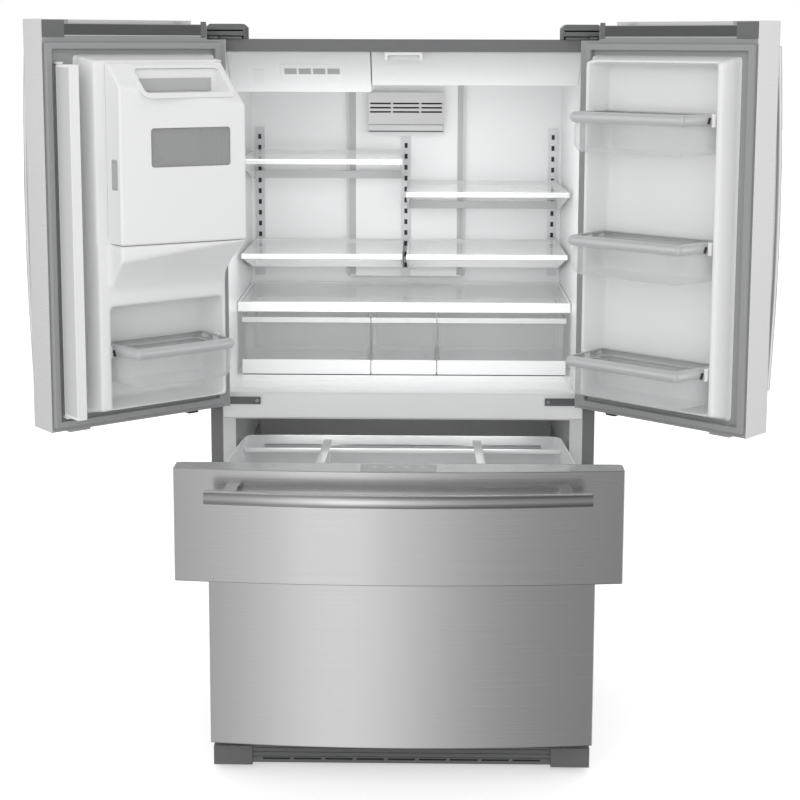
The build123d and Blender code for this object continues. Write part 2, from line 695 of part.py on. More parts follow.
RIGHT_RECESS_U = (PLUG_HINGE_SIDE + RIDGE_HINGE, RIGHT_PLUG_FREE - RIGHT_RIDGE_FREE)
LEFT_RECESS_U = (PLUG_HINGE_SIDE + RIDGE_HINGE, LEFT_PLUG_FREE - LEFT_RIDGE_FREE)


def foam_core(side, plug_free):
    """Foamed body of a door inside the skin, between the caps and up to the liner's plug."""
    x = span_x(side, DOOR_U[0] + SHEET, DOOR_U[1] - SHEET)
    z = (DOOR_BOTTOM + BOTTOM_CAP_HEIGHT, CAP_BASE - 30)
    core = crowned(x, -SEAL_GAP - 3, z, SHEET)
    return core + block(span_x(side, PLUG_HINGE_SIDE, plug_free), (-SEAL_GAP - 3, -SEAL_GAP), PLUG_Z)


def right_liner():
    """Right door liner moulded on its foam, with the bin recess."""
    core = foam_core(1, RIGHT_PLUG_FREE)
    body = core + plug(1, RIGHT_PLUG_FREE, DIKE_RISE) + liner_step(1)
    z = (PLUG_Z[0] + BIN_SILL, PLUG_Z[1] - BIN_SILL)
    return body - recess(1, RIGHT_RECESS_U, z, DIKE_RISE)


ICE_Z = (door_z(ICE_SEAM_AT), door_z(ICE_FACET_AT))
ICE_TOP = door_z(ICE_TOP_AT)
BULGE_LOW = door_z(BULGE_LOW_AT)
ICE_HINGE_SIDE = PLUG_HINGE_SIDE + 10
ICE_COVER_BACK = LEFT_DIKE_RISE - 4
ICE_PIVOT = (door_x(-1, ICE_HINGE_SIDE + ICE_BARREL), ICE_COVER_BACK + ICE_BARREL)


def ice_outline(inset=0.0, back=LEFT_DIKE_RISE - 5):
    """Plan outline of the ice room on the left door."""
    free, hinge = ICE_SIDE - inset, ICE_HINGE_SIDE + inset
    return [(door_x(-1, free), back), (door_x(-1, free), ICE_FRONT_FREE - inset),
            (door_x(-1, hinge), ICE_FRONT_HINGE - inset), (door_x(-1, hinge), back)]


def left_liner():
    """Left door liner with the dispenser bulge and the bin recess under it."""
    core = foam_core(-1, LEFT_PLUG_FREE)
    body = core + plug(-1, LEFT_PLUG_FREE, LEFT_DIKE_RISE) + liner_step(-1)
    body -= block((-HALF, 0), (LEFT_DIKE_RISE - 5, 300), (ICE_Z[0], DOOR_TOP))
    drop = ICE_Z[0] - BULGE_LOW
    deep = ICE_FRONT_HINGE + 1
    start = LEFT_DIKE_RISE - 5
    curve = [(LEFT_DIKE_RISE - 10, BULGE_LOW - 8)]
    steps = 8
    for step in range(steps + 1):
        share = step / steps
        curve.append((start + (deep - start) * share ** 1.8, BULGE_LOW + drop * share))
    curve.append((LEFT_DIKE_RISE - 10, ICE_Z[0]))
    bulge = prism(ice_outline(back=LEFT_DIKE_RISE - 10), (BULGE_LOW - 20, ICE_Z[0]))
    body += bulge & side_prism(curve, (-HALF, 0))
    body -= recess(-1, LEFT_RECESS_U, (PLUG_Z[0] + BIN_SILL, BULGE_LOW - 10), LEFT_DIKE_RISE)
    body -= ice_cavity()
    body += ice_lug()
    body -= ice_pins(ICE_PIN_RADIUS + PIN_CLEARANCE)
    return body - dispenser_block()


def ice_cavity():
    """Room in the door for the ice box."""
    x = span_x(-1, ICE_HINGE_SIDE + 12, ICE_SIDE - 12)
    return block(x, (-8, LEFT_DIKE_RISE), (ICE_Z[0] + 12, ICE_Z[1]))


def ice_pins(radius):
    """Pivot pins of the ice room's cover, above and below it."""
    upper = tube_z(*ICE_PIVOT, (ICE_TOP - 3, ICE_TOP + 1 + ICE_LUG), radius)
    return upper + tube_z(*ICE_PIVOT, (ICE_Z[0] - ICE_PIN_LENGTH, ICE_Z[0] + 3), radius)


def ice_lug():
    """Ear on the door liner above the ice room's cover."""
    u = (ICE_HINGE_SIDE - 2, ICE_HINGE_SIDE + 2 * ICE_BARREL + 4)
    depth = (LEFT_DIKE_RISE - 14, ICE_PIVOT[1] + ICE_PIN_RADIUS + 1.5)
    return block(span_x(-1, *u), depth, (ICE_TOP + 1, ICE_TOP + 1 + ICE_LUG))


def ice_head():
    """Sloped head of the ice room's cover with the air port."""
    head = prism(ice_outline(back=ICE_COVER_BACK), (ICE_Z[1] - 1, ICE_TOP))
    deep = ICE_FRONT_HINGE + 1
    low = ICE_Z[1]
    slope = [(0, low - 2), (deep, low - 2), (deep, low + 4), (LEFT_DIKE_RISE + 2, ICE_TOP), (0, ICE_TOP)]
    port_z = (low + ICE_PORT_RISE[0], low + ICE_PORT_RISE[1])
    port = block(span_x(-1, *ICE_PORT_U), (LEFT_DIKE_RISE + 12, 200), port_z)
    return (head & side_prism(slope, (-HALF, 0))) - port


def ice_box():
    """Liner tray of the ice room, set into the door."""
    u = (ICE_HINGE_SIDE + 12, ICE_SIDE - 12)
    tray = block(span_x(-1, *u), (-8, LEFT_DIKE_RISE - 5), (ICE_Z[0] + 12, ICE_Z[1]))
    return tray - block(span_x(-1, u[0] + 6, u[1] - 6), (-2, LEFT_DIKE_RISE), (ICE_Z[0] + 18, ICE_Z[1] - 6))


def ice_room_door():
    """Cover of the ice room: a windowed shell, its sloped head, a round hinge edge and two pins."""
    z = (ICE_Z[0] + 1, ICE_Z[1] - 1)
    shell = prism(ice_outline(back=ICE_COVER_BACK), z)
    inner = ice_outline(ICE_DOOR_WALL, ICE_COVER_BACK - 5)
    shell -= prism(inner, (z[0] + ICE_DOOR_WALL, z[1] - ICE_DOOR_WALL))
    window_z = (ICE_Z[1] - ICE_WINDOW_DROP[1], ICE_Z[1] - ICE_WINDOW_DROP[0])
    shell -= block(span_x(-1, *ICE_WINDOW_U), (LEFT_DIKE_RISE + 20, 300), window_z)
    shell += ice_head()
    corner = span_x(-1, ICE_HINGE_SIDE - 1, ICE_HINGE_SIDE + ICE_BARREL)
    shell -= block(corner, (ICE_COVER_BACK - 1, ICE_COVER_BACK + ICE_BARREL), (z[0] - 1, ICE_TOP + 1))
    return shell + tube_z(*ICE_PIVOT, (z[0], ICE_TOP), ICE_BARREL) + ice_pins(ICE_PIN_RADIUS)


def ice_bin():
    """Ice bin inside the ice room."""
    x = span_x(-1, ICE_HINGE_SIDE + 24, ICE_SIDE - 24)
    z = (ICE_Z[0] + 22, ICE_Z[1] - 40)
    depth = (2, ICE_FRONT_FREE - 16)
    body = block(x, depth, z)
    return body - block((x[0] + 3, x[1] - 3), (depth[0] + 3, depth[1] - 3), (z[0] + 3, z[1] + 1))


DISPENSER_Z = (door_z(DISPENSER_LOW_AT), door_z(DISPENSER_HIGH_AT))
DISPLAY_LOW = DISPENSER_Z[1] - DISPLAY_SHARE * (DISPENSER_Z[1] - DISPENSER_Z[0])
DISPENSER_BACK = -FRONT_EDGE - CROWN / 2 + DISPENSER_DEPTH


def dispenser_block():
    """Whole space of the outer dispenser."""
    return crowned(span_x(-1, *DISPENSER_U), DISPENSER_BACK, DISPENSER_Z)


PADDLE_X = door_x(-1, (DISPENSER_U[0] + DISPENSER_U[1]) / 2)
PADDLE_Z = DISPLAY_LOW - 16
PADDLE_DEPTH = DISPENSER_BACK - DISPENSER_RIM - 14


def dispenser_recess():
    """Outer ice and water dispenser: control panel over an open recess with the paddle's ears."""
    body = dispenser_block()
    u = (DISPENSER_U[0] + DISPENSER_RIM, DISPENSER_U[1] - DISPENSER_RIM)
    body -= block(span_x(-1, *u), (-200, DISPENSER_BACK - DISPENSER_RIM), (DISPENSER_Z[0] + 14, DISPLAY_LOW))
    for side in (-1, 1):
        x = sorted((PADDLE_X + side * (PADDLE_HALF + 1), PADDLE_X + side * (PADDLE_HALF + 5)))
        body += block(x, (PADDLE_DEPTH - 6, PADDLE_DEPTH + 6), (PADDLE_Z - 6, DISPLAY_LOW))
    hole = PADDLE_PIN_RADIUS + PIN_CLEARANCE
    reach = PADDLE_HALF + 6
    return body - tube_x((PADDLE_X - reach, PADDLE_X + reach), PADDLE_DEPTH, PADDLE_Z, hole)


def dispenser_paddle():
    """Lever at the back of the recess that a glass pushes."""
    pivot = tube_x((PADDLE_X - PADDLE_HALF, PADDLE_X + PADDLE_HALF), PADDLE_DEPTH, PADDLE_Z, 5)
    reach = PADDLE_HALF + 5
    pivot += tube_x((PADDLE_X - reach, PADDLE_X + reach), PADDLE_DEPTH, PADDLE_Z, PADDLE_PIN_RADIUS)
    depth = (PADDLE_DEPTH - 3, PADDLE_DEPTH + 1)
    return pivot + block((PADDLE_X - 28, PADDLE_X + 28), depth, (PADDLE_Z - PADDLE_LENGTH, PADDLE_Z))


def gasket(side):
    """Magnetic gasket around the back of a door."""
    u = (GASKET_HINGE_SIDE, DOOR_U[1] - 3)
    z = (DOOR_BOTTOM + 11, CAP_BASE - 7)
    outer = block(span_x(side, *u), (-SEAL_GAP, -SEAL_CLEARANCE), z)
    wide = GASKET_WIDTH
    inner = span_x(side, u[0] + wide, u[1] - wide)
    return outer - block(inner, (-SEAL_GAP - 1, 0), (z[0] + wide, z[1] - wide))


def bowed_bar(start, middle, end):
    """Round bar along an arc."""
    path = ThreePointArc(start, middle, end)
    return sweep(Plane(origin=path @ 0, z_dir=path % 0) * Circle(HANDLE_RADIUS), path=path)


def door_handle(side):
    """Vertical bowed bar near the free edge on two posts."""
    x = door_x(side, DOOR_U[1] - DOOR_HANDLE_INSET)
    surface = FRONT + crown_depth(x)
    z_middle = (DOOR_BOTTOM + DOOR_TOP) / 2 + 12
    half = min(DOOR_HANDLE_LENGTH, DOOR_HEIGHT - 90) / 2
    y = surface - HANDLE_STANDOFF
    bar = bowed_bar((x, y, z_middle - half), (x, y - HANDLE_BOW, z_middle), (x, y, z_middle + half))
    body = bar
    for end in (-1, 1):
        z = z_middle + end * (half - POST_INSET)
        post = Pos(x, y + HANDLE_STANDOFF / 2, z) * Box(POST_WIDTH, HANDLE_STANDOFF + 8, POST_WIDTH + 6)
        body += post
    return body - crowned(span_x(side, *DOOR_U), 0, (DOOR_BOTTOM, DOOR_TOP))


def drawer_handle(top, out):
    """Horizontal bowed bar on two posts across a drawer front."""
    half = HALF - DRAWER_HANDLE_INSET
    z = top - DRAWER_HANDLE_DROP
    y = FRONT + crown_depth(half) - HANDLE_STANDOFF + 6
    bow = CROWN
    body = bowed_bar((-half, y, z), (0, y - bow, z), (half, y, z))
    for side in (-1, 1):
        x = side * (half - POST_INSET + 14)
        post_y = FRONT + crown_depth(x) - HANDLE_STANDOFF / 2
        body += Pos(x, post_y, z) * Box(POST_WIDTH + 6, HANDLE_STANDOFF + 8, POST_WIDTH)
    body -= crowned((-FRONT_HALF, FRONT_HALF), 0, (top - 200, top))
    return Pos(0, -out, 0) * body


def bin_outline(side, u, back, inset):
    """Plan outline of a door bin: a deep root in the recess, then sides that taper to the front."""
    low, high = u[0] + inset, u[1] - inset
    tip = BIN_FRONT - inset
    rise = DIKE_RISE if side > 0 else LEFT_DIKE_RISE
    near, far = low + BIN_TAPER_HINGE, high - BIN_TAPER_FREE
    corner = BIN_CORNER
    points = [(low + RECESS_DRAFT, back + inset), (low, rise), (near, tip - corner), (near + corner, tip),
              (far - corner, tip), (far, tip - corner), (high, rise), (high - RECESS_DRAFT, back + inset)]
    return [(door_x(side, at), depth) for at, depth in points]


def door_bin(side, u, z, back):
    """Clear bin with a raised rim band."""
    rim_low = z + BIN_HEIGHT - RIM_HEIGHT
    rim = prism(bin_outline(side, u, back, 0), (rim_low, z + BIN_HEIGHT))
    tub = prism(bin_outline(side, u, back, BIN_RIM), (z, rim_low))
    hollow = prism(bin_outline(side, u, back, BIN_RIM + BIN_WALL), (z + BIN_WALL, z + BIN_HEIGHT + 1))
    return rim + tub - hollow


def bin_span(recess_u):
    """Space of a bin between the sides of its recess."""
    return (recess_u[0] + BIN_RECESS_GAP, recess_u[1] - BIN_RECESS_GAP)


BIN_BACK = -RECESS_DEPTH + 3


def flipper():
    """Mullion bar on the left door that closes the gap between the doors, folded back."""
    x = door_x(-1, FLIPPER_HINGE_U)
    z = (FRESH_FLOOR + FLIPPER_BOTTOM_GAP, FRESH_CEILING - FLIPPER_TOP_GAP)
    low = FLIPPER_HINGE_DEPTH - 6
    bar = block((x - FLIPPER_THICK + 6, x + 6), (low, low + FLIPPER_WIDTH), z)
    hole = FLIPPER_PIN_RADIUS + PIN_CLEARANCE
    bar -= tube_z(x, FLIPPER_HINGE_DEPTH, (z[0] - 1, z[0] + 30), hole)
    return bar - tube_z(x, FLIPPER_HINGE_DEPTH, (z[1] - 30, z[1] + 1), hole)


def flipper_pivots():
    """Brackets on the left door with the flipper's pins."""
    x = door_x(-1, FLIPPER_HINGE_U)
    low, high = FRESH_FLOOR + FLIPPER_BOTTOM_GAP, FRESH_CEILING - FLIPPER_TOP_GAP
    lower = ((low - 5, low - 1), (low - 5, low + 26))
    upper = ((high + 1, high + 5), (high - 26, high + 5))
    parts = []
    for z, pin in (lower, upper):
        lug = block((x - 5, x + 5), (-SEAL_GAP, FLIPPER_HINGE_DEPTH + 5), z)
        parts.append(lug + tube_z(x, FLIPPER_HINGE_DEPTH, pin, FLIPPER_PIN_RADIUS))
    return parts


# ---------------------------------------------------------------- drawers

def drawer_front(z, out):
    """Bowed steel box of a drawer front, open at the back."""
    x = (-FRONT_HALF, FRONT_HALF)
    back = -FRONT_EDGE + FRONT_BOX_DEPTH
    skin = crowned(x, back, z)
    inner = (x[0] + SHEET, x[1] - SHEET)
    return Pos(0, -out, 0) * (skin - crowned(inner, back + 5, (z[0] + SHEET, z[1] - SHEET), SHEET))


def front_core(z, seal_z):
    """Foamed back of a drawer front with its inner panel and gasket ring."""
    x = (-FRONT_HALF + SHEET, FRONT_HALF - SHEET)
    back = -FRONT_EDGE + FRONT_BOX_DEPTH
    core = crowned(x, back, (z[0] + SHEET, z[1] - SHEET), SHEET)
    panel_x = (-FRONT_HALF + 3, FRONT_HALF - 3)
    core += block(panel_x, (back, -SEAL_GAP), (z[0] + 3, z[1] - 3))
    half = HALF - 8
    ring = block((-half, half), (-SEAL_GAP, -SEAL_CLEARANCE), seal_z)
    ring -= block((-half + 16, half - 16), (-SEAL_GAP - 1, 1), (seal_z[0] + 16, seal_z[1] - 16))
    return core + ring


MID_SEAL_Z = (MID_FRONT_BOTTOM + 6, MID_FRONT_TOP - 10)
FREEZER_SEAL_Z = (FREEZER_FRONT_BOTTOM + 8, FREEZER_FRONT_TOP - 6)
TUB_HALF = DRAWER_HALF - TUB_SIDE_GAP


def mid_tub():
    """Middle drawer: inner panel and tub, with slide members on its sides."""
    core = front_core((MID_FRONT_BOTTOM, MID_FRONT_TOP), MID_SEAL_Z)
    low, high = MID_FLOOR + TUB_BOTTOM_GAP, MID_CEILING - TUB_TOP_GAP
    tub = block((-TUB_HALF, TUB_HALF), (-SEAL_GAP, TUB_DEPTH), (low, high))
    tub -= block((-TUB_HALF + TUB_WALL, TUB_HALF - TUB_WALL), (-SEAL_GAP + TUB_WALL, TUB_DEPTH - TUB_WALL),
                 (low + TUB_WALL, high + 1))
    notch = TUB_HALF - 40
    tub -= block((-notch, notch), (TUB_DEPTH - 20, TUB_DEPTH + 1), (high - TUB_REAR_DROP, high + 1))
    slide_z = MID_FLOOR + MID_SLIDE_RISE
    for side in (-1, 1):
        x = sorted((side * TUB_HALF, side * (TUB_HALF + SLIDE_THICK)))
        tub += block(x, (10, 10 + SLIDE_LENGTH), (slide_z + 4, slide_z + SLIDE_HEIGHT - 4))
    return Pos(0, -MID_DRAWER_OUT, 0) * (core + tub)


def mid_dividers():
    """Two lengthwise dividers in the middle drawer and the bar across its rear."""
    low, high = MID_FLOOR + TUB_BOTTOM_GAP + TUB_WALL, MID_CEILING - TUB_TOP_GAP
    parts = []
    for side in (-1, 1):
        at = side * DIVIDER_AT
        blade = [(12, low + 0.5), (12, high - 8), (TUB_DEPTH - 50, high - 44), (TUB_DEPTH - 50, low + 0.5)]
        plate = side_prism(blade, (at - 2, at + 2))
        rail = [(12, high - 14), (12, high - 8), (TUB_DEPTH - 50, high - 44), (TUB_DEPTH - 50, high - 50)]
        parts.append(plate + side_prism(rail, (at - DIVIDER_WIDTH / 2, at + DIVIDER_WIDTH / 2)))
    half = TUB_HALF - TUB_WALL
    bar = tube_x((-half, half), TUB_DEPTH - 34, high - 76, 6)
    parts.append(bar)
    return [Pos(0, -MID_DRAWER_OUT, 0) * part for part in parts]


def freezer_basket():
    """Freezer drawer: inner panel and deep basket, stepped over the compressor compartment."""
    core = front_core((FREEZER_FRONT_BOTTOM, FREEZER_FRONT_TOP), FREEZER_SEAL_Z)
    low, high = FREEZER_FLOOR + BASKET_BOTTOM_GAP, FREEZER_CEILING - BASKET_TOP_GAP
    step = SHELL_BOTTOM + MACHINE_HEIGHT + 30 + BASKET_BOTTOM_GAP
    deep = BASKET_DEPTH - BASKET_REAR_STEP
    outline = [(-SEAL_GAP, low), (deep, low), (deep, step), (BASKET_DEPTH, step), (BASKET_DEPTH, high),
               (-SEAL_GAP, high)]
    wall = TUB_WALL
    inner = [(-SEAL_GAP + wall, low + wall), (deep - wall, low + wall), (deep - wall, step + wall),
             (BASKET_DEPTH - wall, step + wall), (BASKET_DEPTH - wall, high + 1),
             (-SEAL_GAP + wall, high + 1)]
    tub = side_prism(outline, (-TUB_HALF, TUB_HALF)) - side_prism(inner, (-TUB_HALF + wall, TUB_HALF - wall))
    slide_z = FREEZER_FLOOR + FREEZER_SLIDE_RISE
    for side in (-1, 1):
        x = sorted((side * TUB_HALF, side * (TUB_HALF + SLIDE_THICK)))
        tub += block(x, (10, BASKET_DEPTH - 10), (slide_z + 4, slide_z + SLIDE_HEIGHT - 4))
    return core + tub


def slide_pair(z, length, inner, out=0.0):
    """Slide members on both sides, `inner` mm out from the tub."""
    x = (TUB_HALF + inner, TUB_HALF + inner + SLIDE_THICK)
    right = Pos(0, -out, 0) * block(x, (14, 14 + length), (z, z + SLIDE_HEIGHT))
    return pair(right)


def turned(side, items):
    """Turn door pieces from shut to the open pose about the hinge."""
    angle = -LEFT_DOOR_OPEN if side < 0 else RIGHT_DOOR_OPEN
    axis = Axis((door_x(side, HINGE_INSET), FRONT - HINGE_FORWARD, 0), (0, 0, 1))
    return [solid.rotate(axis, angle) for solid in solids_of(items)]


def build_cabinet():
    """Write the nodes that stay with the cabinet."""
    save("cabinet_shell", outer_shell())
    save("rear_panel", rear_panel())
    save("power_inlet", power_inlet())
    save("base_frame", *base_frame())
    save("insulation_foam", foam())
    save("fresh_food_liner", liner_shell(FRESH_HALF, (FRESH_FLOOR, FRESH_CEILING),
                                         (FRESH_FLOOR - LINER, FRESH_CEILING)))
    outer_z = (MID_FLOOR - LINER, MID_CEILING + LINER)
    save("mid_liner", liner_shell(DRAWER_HALF, (MID_FLOOR, MID_CEILING), outer_z))
    save("freezer_liner", freezer_liner())
    save("divider_rails", *rail_blocks())
    save("base_grille", base_grille())
    can, coil = machine_parts()
    save("compressor", can)
    save("condenser", *coil)
    save("evaporator", *evaporator())
    middle = REAR - MACHINE_DEPTH / 2
    save("condenser_fan", fan(FAN_X, middle - 8, SHELL_BOTTOM + FAN_RISE, 62))
    save("evaporator_fan", fan(0, 540, FREEZER_CEILING - EVAPORATOR_FAN_DROP, 50))
    rails = slide_pair(MID_FLOOR + MID_SLIDE_RISE, SLIDE_LENGTH, TUB_SIDE_GAP - SLIDE_THICK)
    rails += slide_pair(FREEZER_FLOOR + FREEZER_SLIDE_RISE, BASKET_DEPTH - 30, TUB_SIDE_GAP - SLIDE_THICK)
    save("drawer_rails", *rails)
    lights = [tube_z(x, 40, (MID_CEILING - 3, MID_CEILING), 24) for x in (-170, 170)]
    save("ceiling_lights", *lights)
    save("door_hinges", *[hinge(side) for side in (-1, 1) for hinge in (top_hinge, centre_hinge)])
    save("hinge_covers", *[hinge_cover(side) for side in (-1, 1)])


def build_interior():
    """Write what is fitted in the fresh-food compartment."""
    save("air_tower", air_tower())
    save("vent_grille", vent_grille())
    save("shelf_ladders", *ladders())
    upper = [shelf(-1, share_up(UPPER_LEFT_AT), SHELF_FRONT)]
    upper.append(shelf(1, share_up(UPPER_RIGHT_AT), SHELF_FRONT))
    lower = [shelf(side, share_up(LOWER_AT), LOWER_SHELF_FRONT) for side in (-1, 1)]
    cover, cover_pane = crisper_cover()
    save("upper_shelves", *[frame for frame, _ in upper])
    save("lower_shelves", *[frame for frame, _ in lower])
    save("shelf_glass", *[pane for _, pane in upper + lower], cover_pane)
    save("crisper_cover", cover)
    half_centre = CENTRE_CRISPER_WIDTH / 2
    outer = FRESH_HALF - 12
    save("crisper_left", crisper((-outer, -half_centre - CRISPER_GAP)))
    save("crisper_centre", crisper((-half_centre, half_centre)))
    save("crisper_right", crisper((half_centre + CRISPER_GAP, outer)))
    save("ceiling_housings", *ceiling_housings(), mullion_guide())


def build_left_door():
    """Write the left door's nodes in its open pose."""
    nodes = {
        "left_door_skin": [door_skin(-1) - crowned(span_x(-1, *DISPENSER_U), 0, DISPENSER_Z)],
        "left_door_frame": [door_frame(-1, LEFT_PLUG_FREE)],
        "left_door_liner": [left_liner()],
        "left_door_gasket": [gasket(-1)],
        "left_door_handle": [door_handle(-1)],
        "ice_box": [ice_box()],
        "ice_bin": [ice_bin()],
        "ice_room_door": [ice_room_door()],
        "dispenser_recess": [dispenser_recess()],
        "dispenser_paddle": [dispenser_paddle()],
        "left_door_bin": [door_bin(-1, bin_span(LEFT_RECESS_U), door_z(LEFT_BIN_AT), BIN_BACK)],
        "flipper_mullion": [flipper()],
        "flipper_pivots": flipper_pivots(),
    }
    for name, items in nodes.items():
        save(name, *turned(-1, items))


def build_right_door():
    """Write the right door's nodes in its open pose."""
    nodes = {
        "right_door_skin": [door_skin(1)],
        "right_door_frame": [door_frame(1, RIGHT_PLUG_FREE)],
        "right_door_liner": [right_liner()],
        "right_door_gasket": [gasket(1)],
        "right_door_handle": [door_handle(1)],
    }
    for name, share in zip(("top", "middle", "bottom"), RIGHT_BIN_AT):
        nodes[f"right_door_bin_{name}"] = [door_bin(1, bin_span(RIGHT_RECESS_U), door_z(share), BIN_BACK)]
    for name, items in nodes.items():
        save(name, *turned(1, items))


def build_drawers():
    """Write the middle drawer, as it stands open, and the freezer drawer, shut."""
    save("mid_drawer_front", drawer_front((MID_FRONT_BOTTOM, MID_FRONT_TOP), MID_DRAWER_OUT))
    save("mid_drawer_tub", mid_tub())
    save("mid_drawer_dividers", *mid_dividers())
    save("mid_drawer_handle", drawer_handle(MID_FRONT_TOP, MID_DRAWER_OUT))
    half_out = MID_DRAWER_OUT / 2
    save("mid_slides", *slide_pair(MID_FLOOR + MID_SLIDE_RISE, SLIDE_LENGTH, SLIDE_THICK + 1, half_out))
    save("freezer_drawer_front", drawer_front((FREEZER_FRONT_BOTTOM, FREEZER_FRONT_TOP), 0.0))
    save("freezer_basket", freezer_basket())
    save("freezer_handle", drawer_handle(FREEZER_FRONT_TOP, 0.0))
    slide_length = BASKET_DEPTH - 30
    save("freezer_slides", *slide_pair(FREEZER_FLOOR + FREEZER_SLIDE_RISE, slide_length, SLIDE_THICK + 1))


os.makedirs("parts", exist_ok=True)
build_cabinet()
build_interior()
build_left_door()
build_right_door()
build_drawers()
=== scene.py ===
"""Looks of a french door refrigerator: finishes, detailed pieces, floor, light and camera."""

from __future__ import annotations

import json
import logging
import math
from dataclasses import dataclass
from enum import Enum
from typing import Callable, Iterable, Sequence

import bpy
from mathutils import Matrix, Vector

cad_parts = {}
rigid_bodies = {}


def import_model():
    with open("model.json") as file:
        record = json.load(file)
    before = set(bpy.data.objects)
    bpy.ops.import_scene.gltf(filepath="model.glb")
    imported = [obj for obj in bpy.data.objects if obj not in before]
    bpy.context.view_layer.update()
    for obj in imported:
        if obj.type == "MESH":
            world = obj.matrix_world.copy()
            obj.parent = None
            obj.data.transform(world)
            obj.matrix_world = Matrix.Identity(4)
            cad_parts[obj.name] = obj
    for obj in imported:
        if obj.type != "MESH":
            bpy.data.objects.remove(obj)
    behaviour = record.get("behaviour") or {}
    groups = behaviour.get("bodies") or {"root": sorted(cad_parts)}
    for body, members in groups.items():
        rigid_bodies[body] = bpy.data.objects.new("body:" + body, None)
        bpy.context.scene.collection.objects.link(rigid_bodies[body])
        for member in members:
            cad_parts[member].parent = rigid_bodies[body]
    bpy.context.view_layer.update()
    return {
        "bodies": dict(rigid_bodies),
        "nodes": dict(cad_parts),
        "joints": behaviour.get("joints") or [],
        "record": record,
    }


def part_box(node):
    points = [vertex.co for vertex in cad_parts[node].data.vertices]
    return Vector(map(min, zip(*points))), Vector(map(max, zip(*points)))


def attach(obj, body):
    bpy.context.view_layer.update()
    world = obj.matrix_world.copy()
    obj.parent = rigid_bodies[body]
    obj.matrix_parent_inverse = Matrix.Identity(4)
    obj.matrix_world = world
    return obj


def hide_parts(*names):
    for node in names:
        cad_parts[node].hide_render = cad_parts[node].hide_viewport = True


LOG = logging.getLogger("refrigerator")
MM = 0.001
LINER_WALL = 2.5 * MM
DOOR_CROWN = 26.0  # bow of the fronts over their whole width, in millimetres
DOOR_EDGE = 76.6  # their side edges, ahead of the front plane, in millimetres
FRONT_OVERHANG = 1.5  # the fronts past the cabinet on each side, in millimetres
Span = tuple[float, float]
Colour = tuple[float, float, float]


# ------------------------------------------------------------------ shader maths


class Signal:
    """A shader socket that takes part in plain arithmetic."""

    def __init__(self, tree: bpy.types.NodeTree, socket: bpy.types.NodeSocket) -> None:
        """Keeps the node tree and the socket whose value this is."""
        self.tree = tree
        self.socket = socket

    def _math(self, operation: str, first: "Signal | float", second: "Signal | float") -> "Signal":
        """Adds one Math node.

        Args:
            operation: the Math node's operation.
            first: value or signal of its first socket.
            second: value or signal of its second socket.

        Returns:
            The node's result.
        """
        node = self.tree.nodes.new("ShaderNodeMath")
        node.operation = operation
        for socket, value in zip(node.inputs, (first, second)):
            if isinstance(value, Signal):
                self.tree.links.new(value.socket, socket)
            else:
                socket.default_value = value
        return Signal(self.tree, node.outputs[0])

    def __add__(self, other: "Signal | float") -> "Signal":
        """Sum."""
        return self._math("ADD", self, other)

    __radd__ = __add__

    def __sub__(self, other: "Signal | float") -> "Signal":
        """Difference."""
        return self._math("SUBTRACT", self, other)

    def __rsub__(self, other: float) -> "Signal":
        """Difference from a number."""
        return self._math("SUBTRACT", other, self)

    def __mul__(self, other: "Signal | float") -> "Signal":
        """Product."""
        return self._math("MULTIPLY", self, other)

    __rmul__ = __mul__

    def __pow__(self, other: float) -> "Signal":
        """Power."""
        return self._math("POWER", self, other)


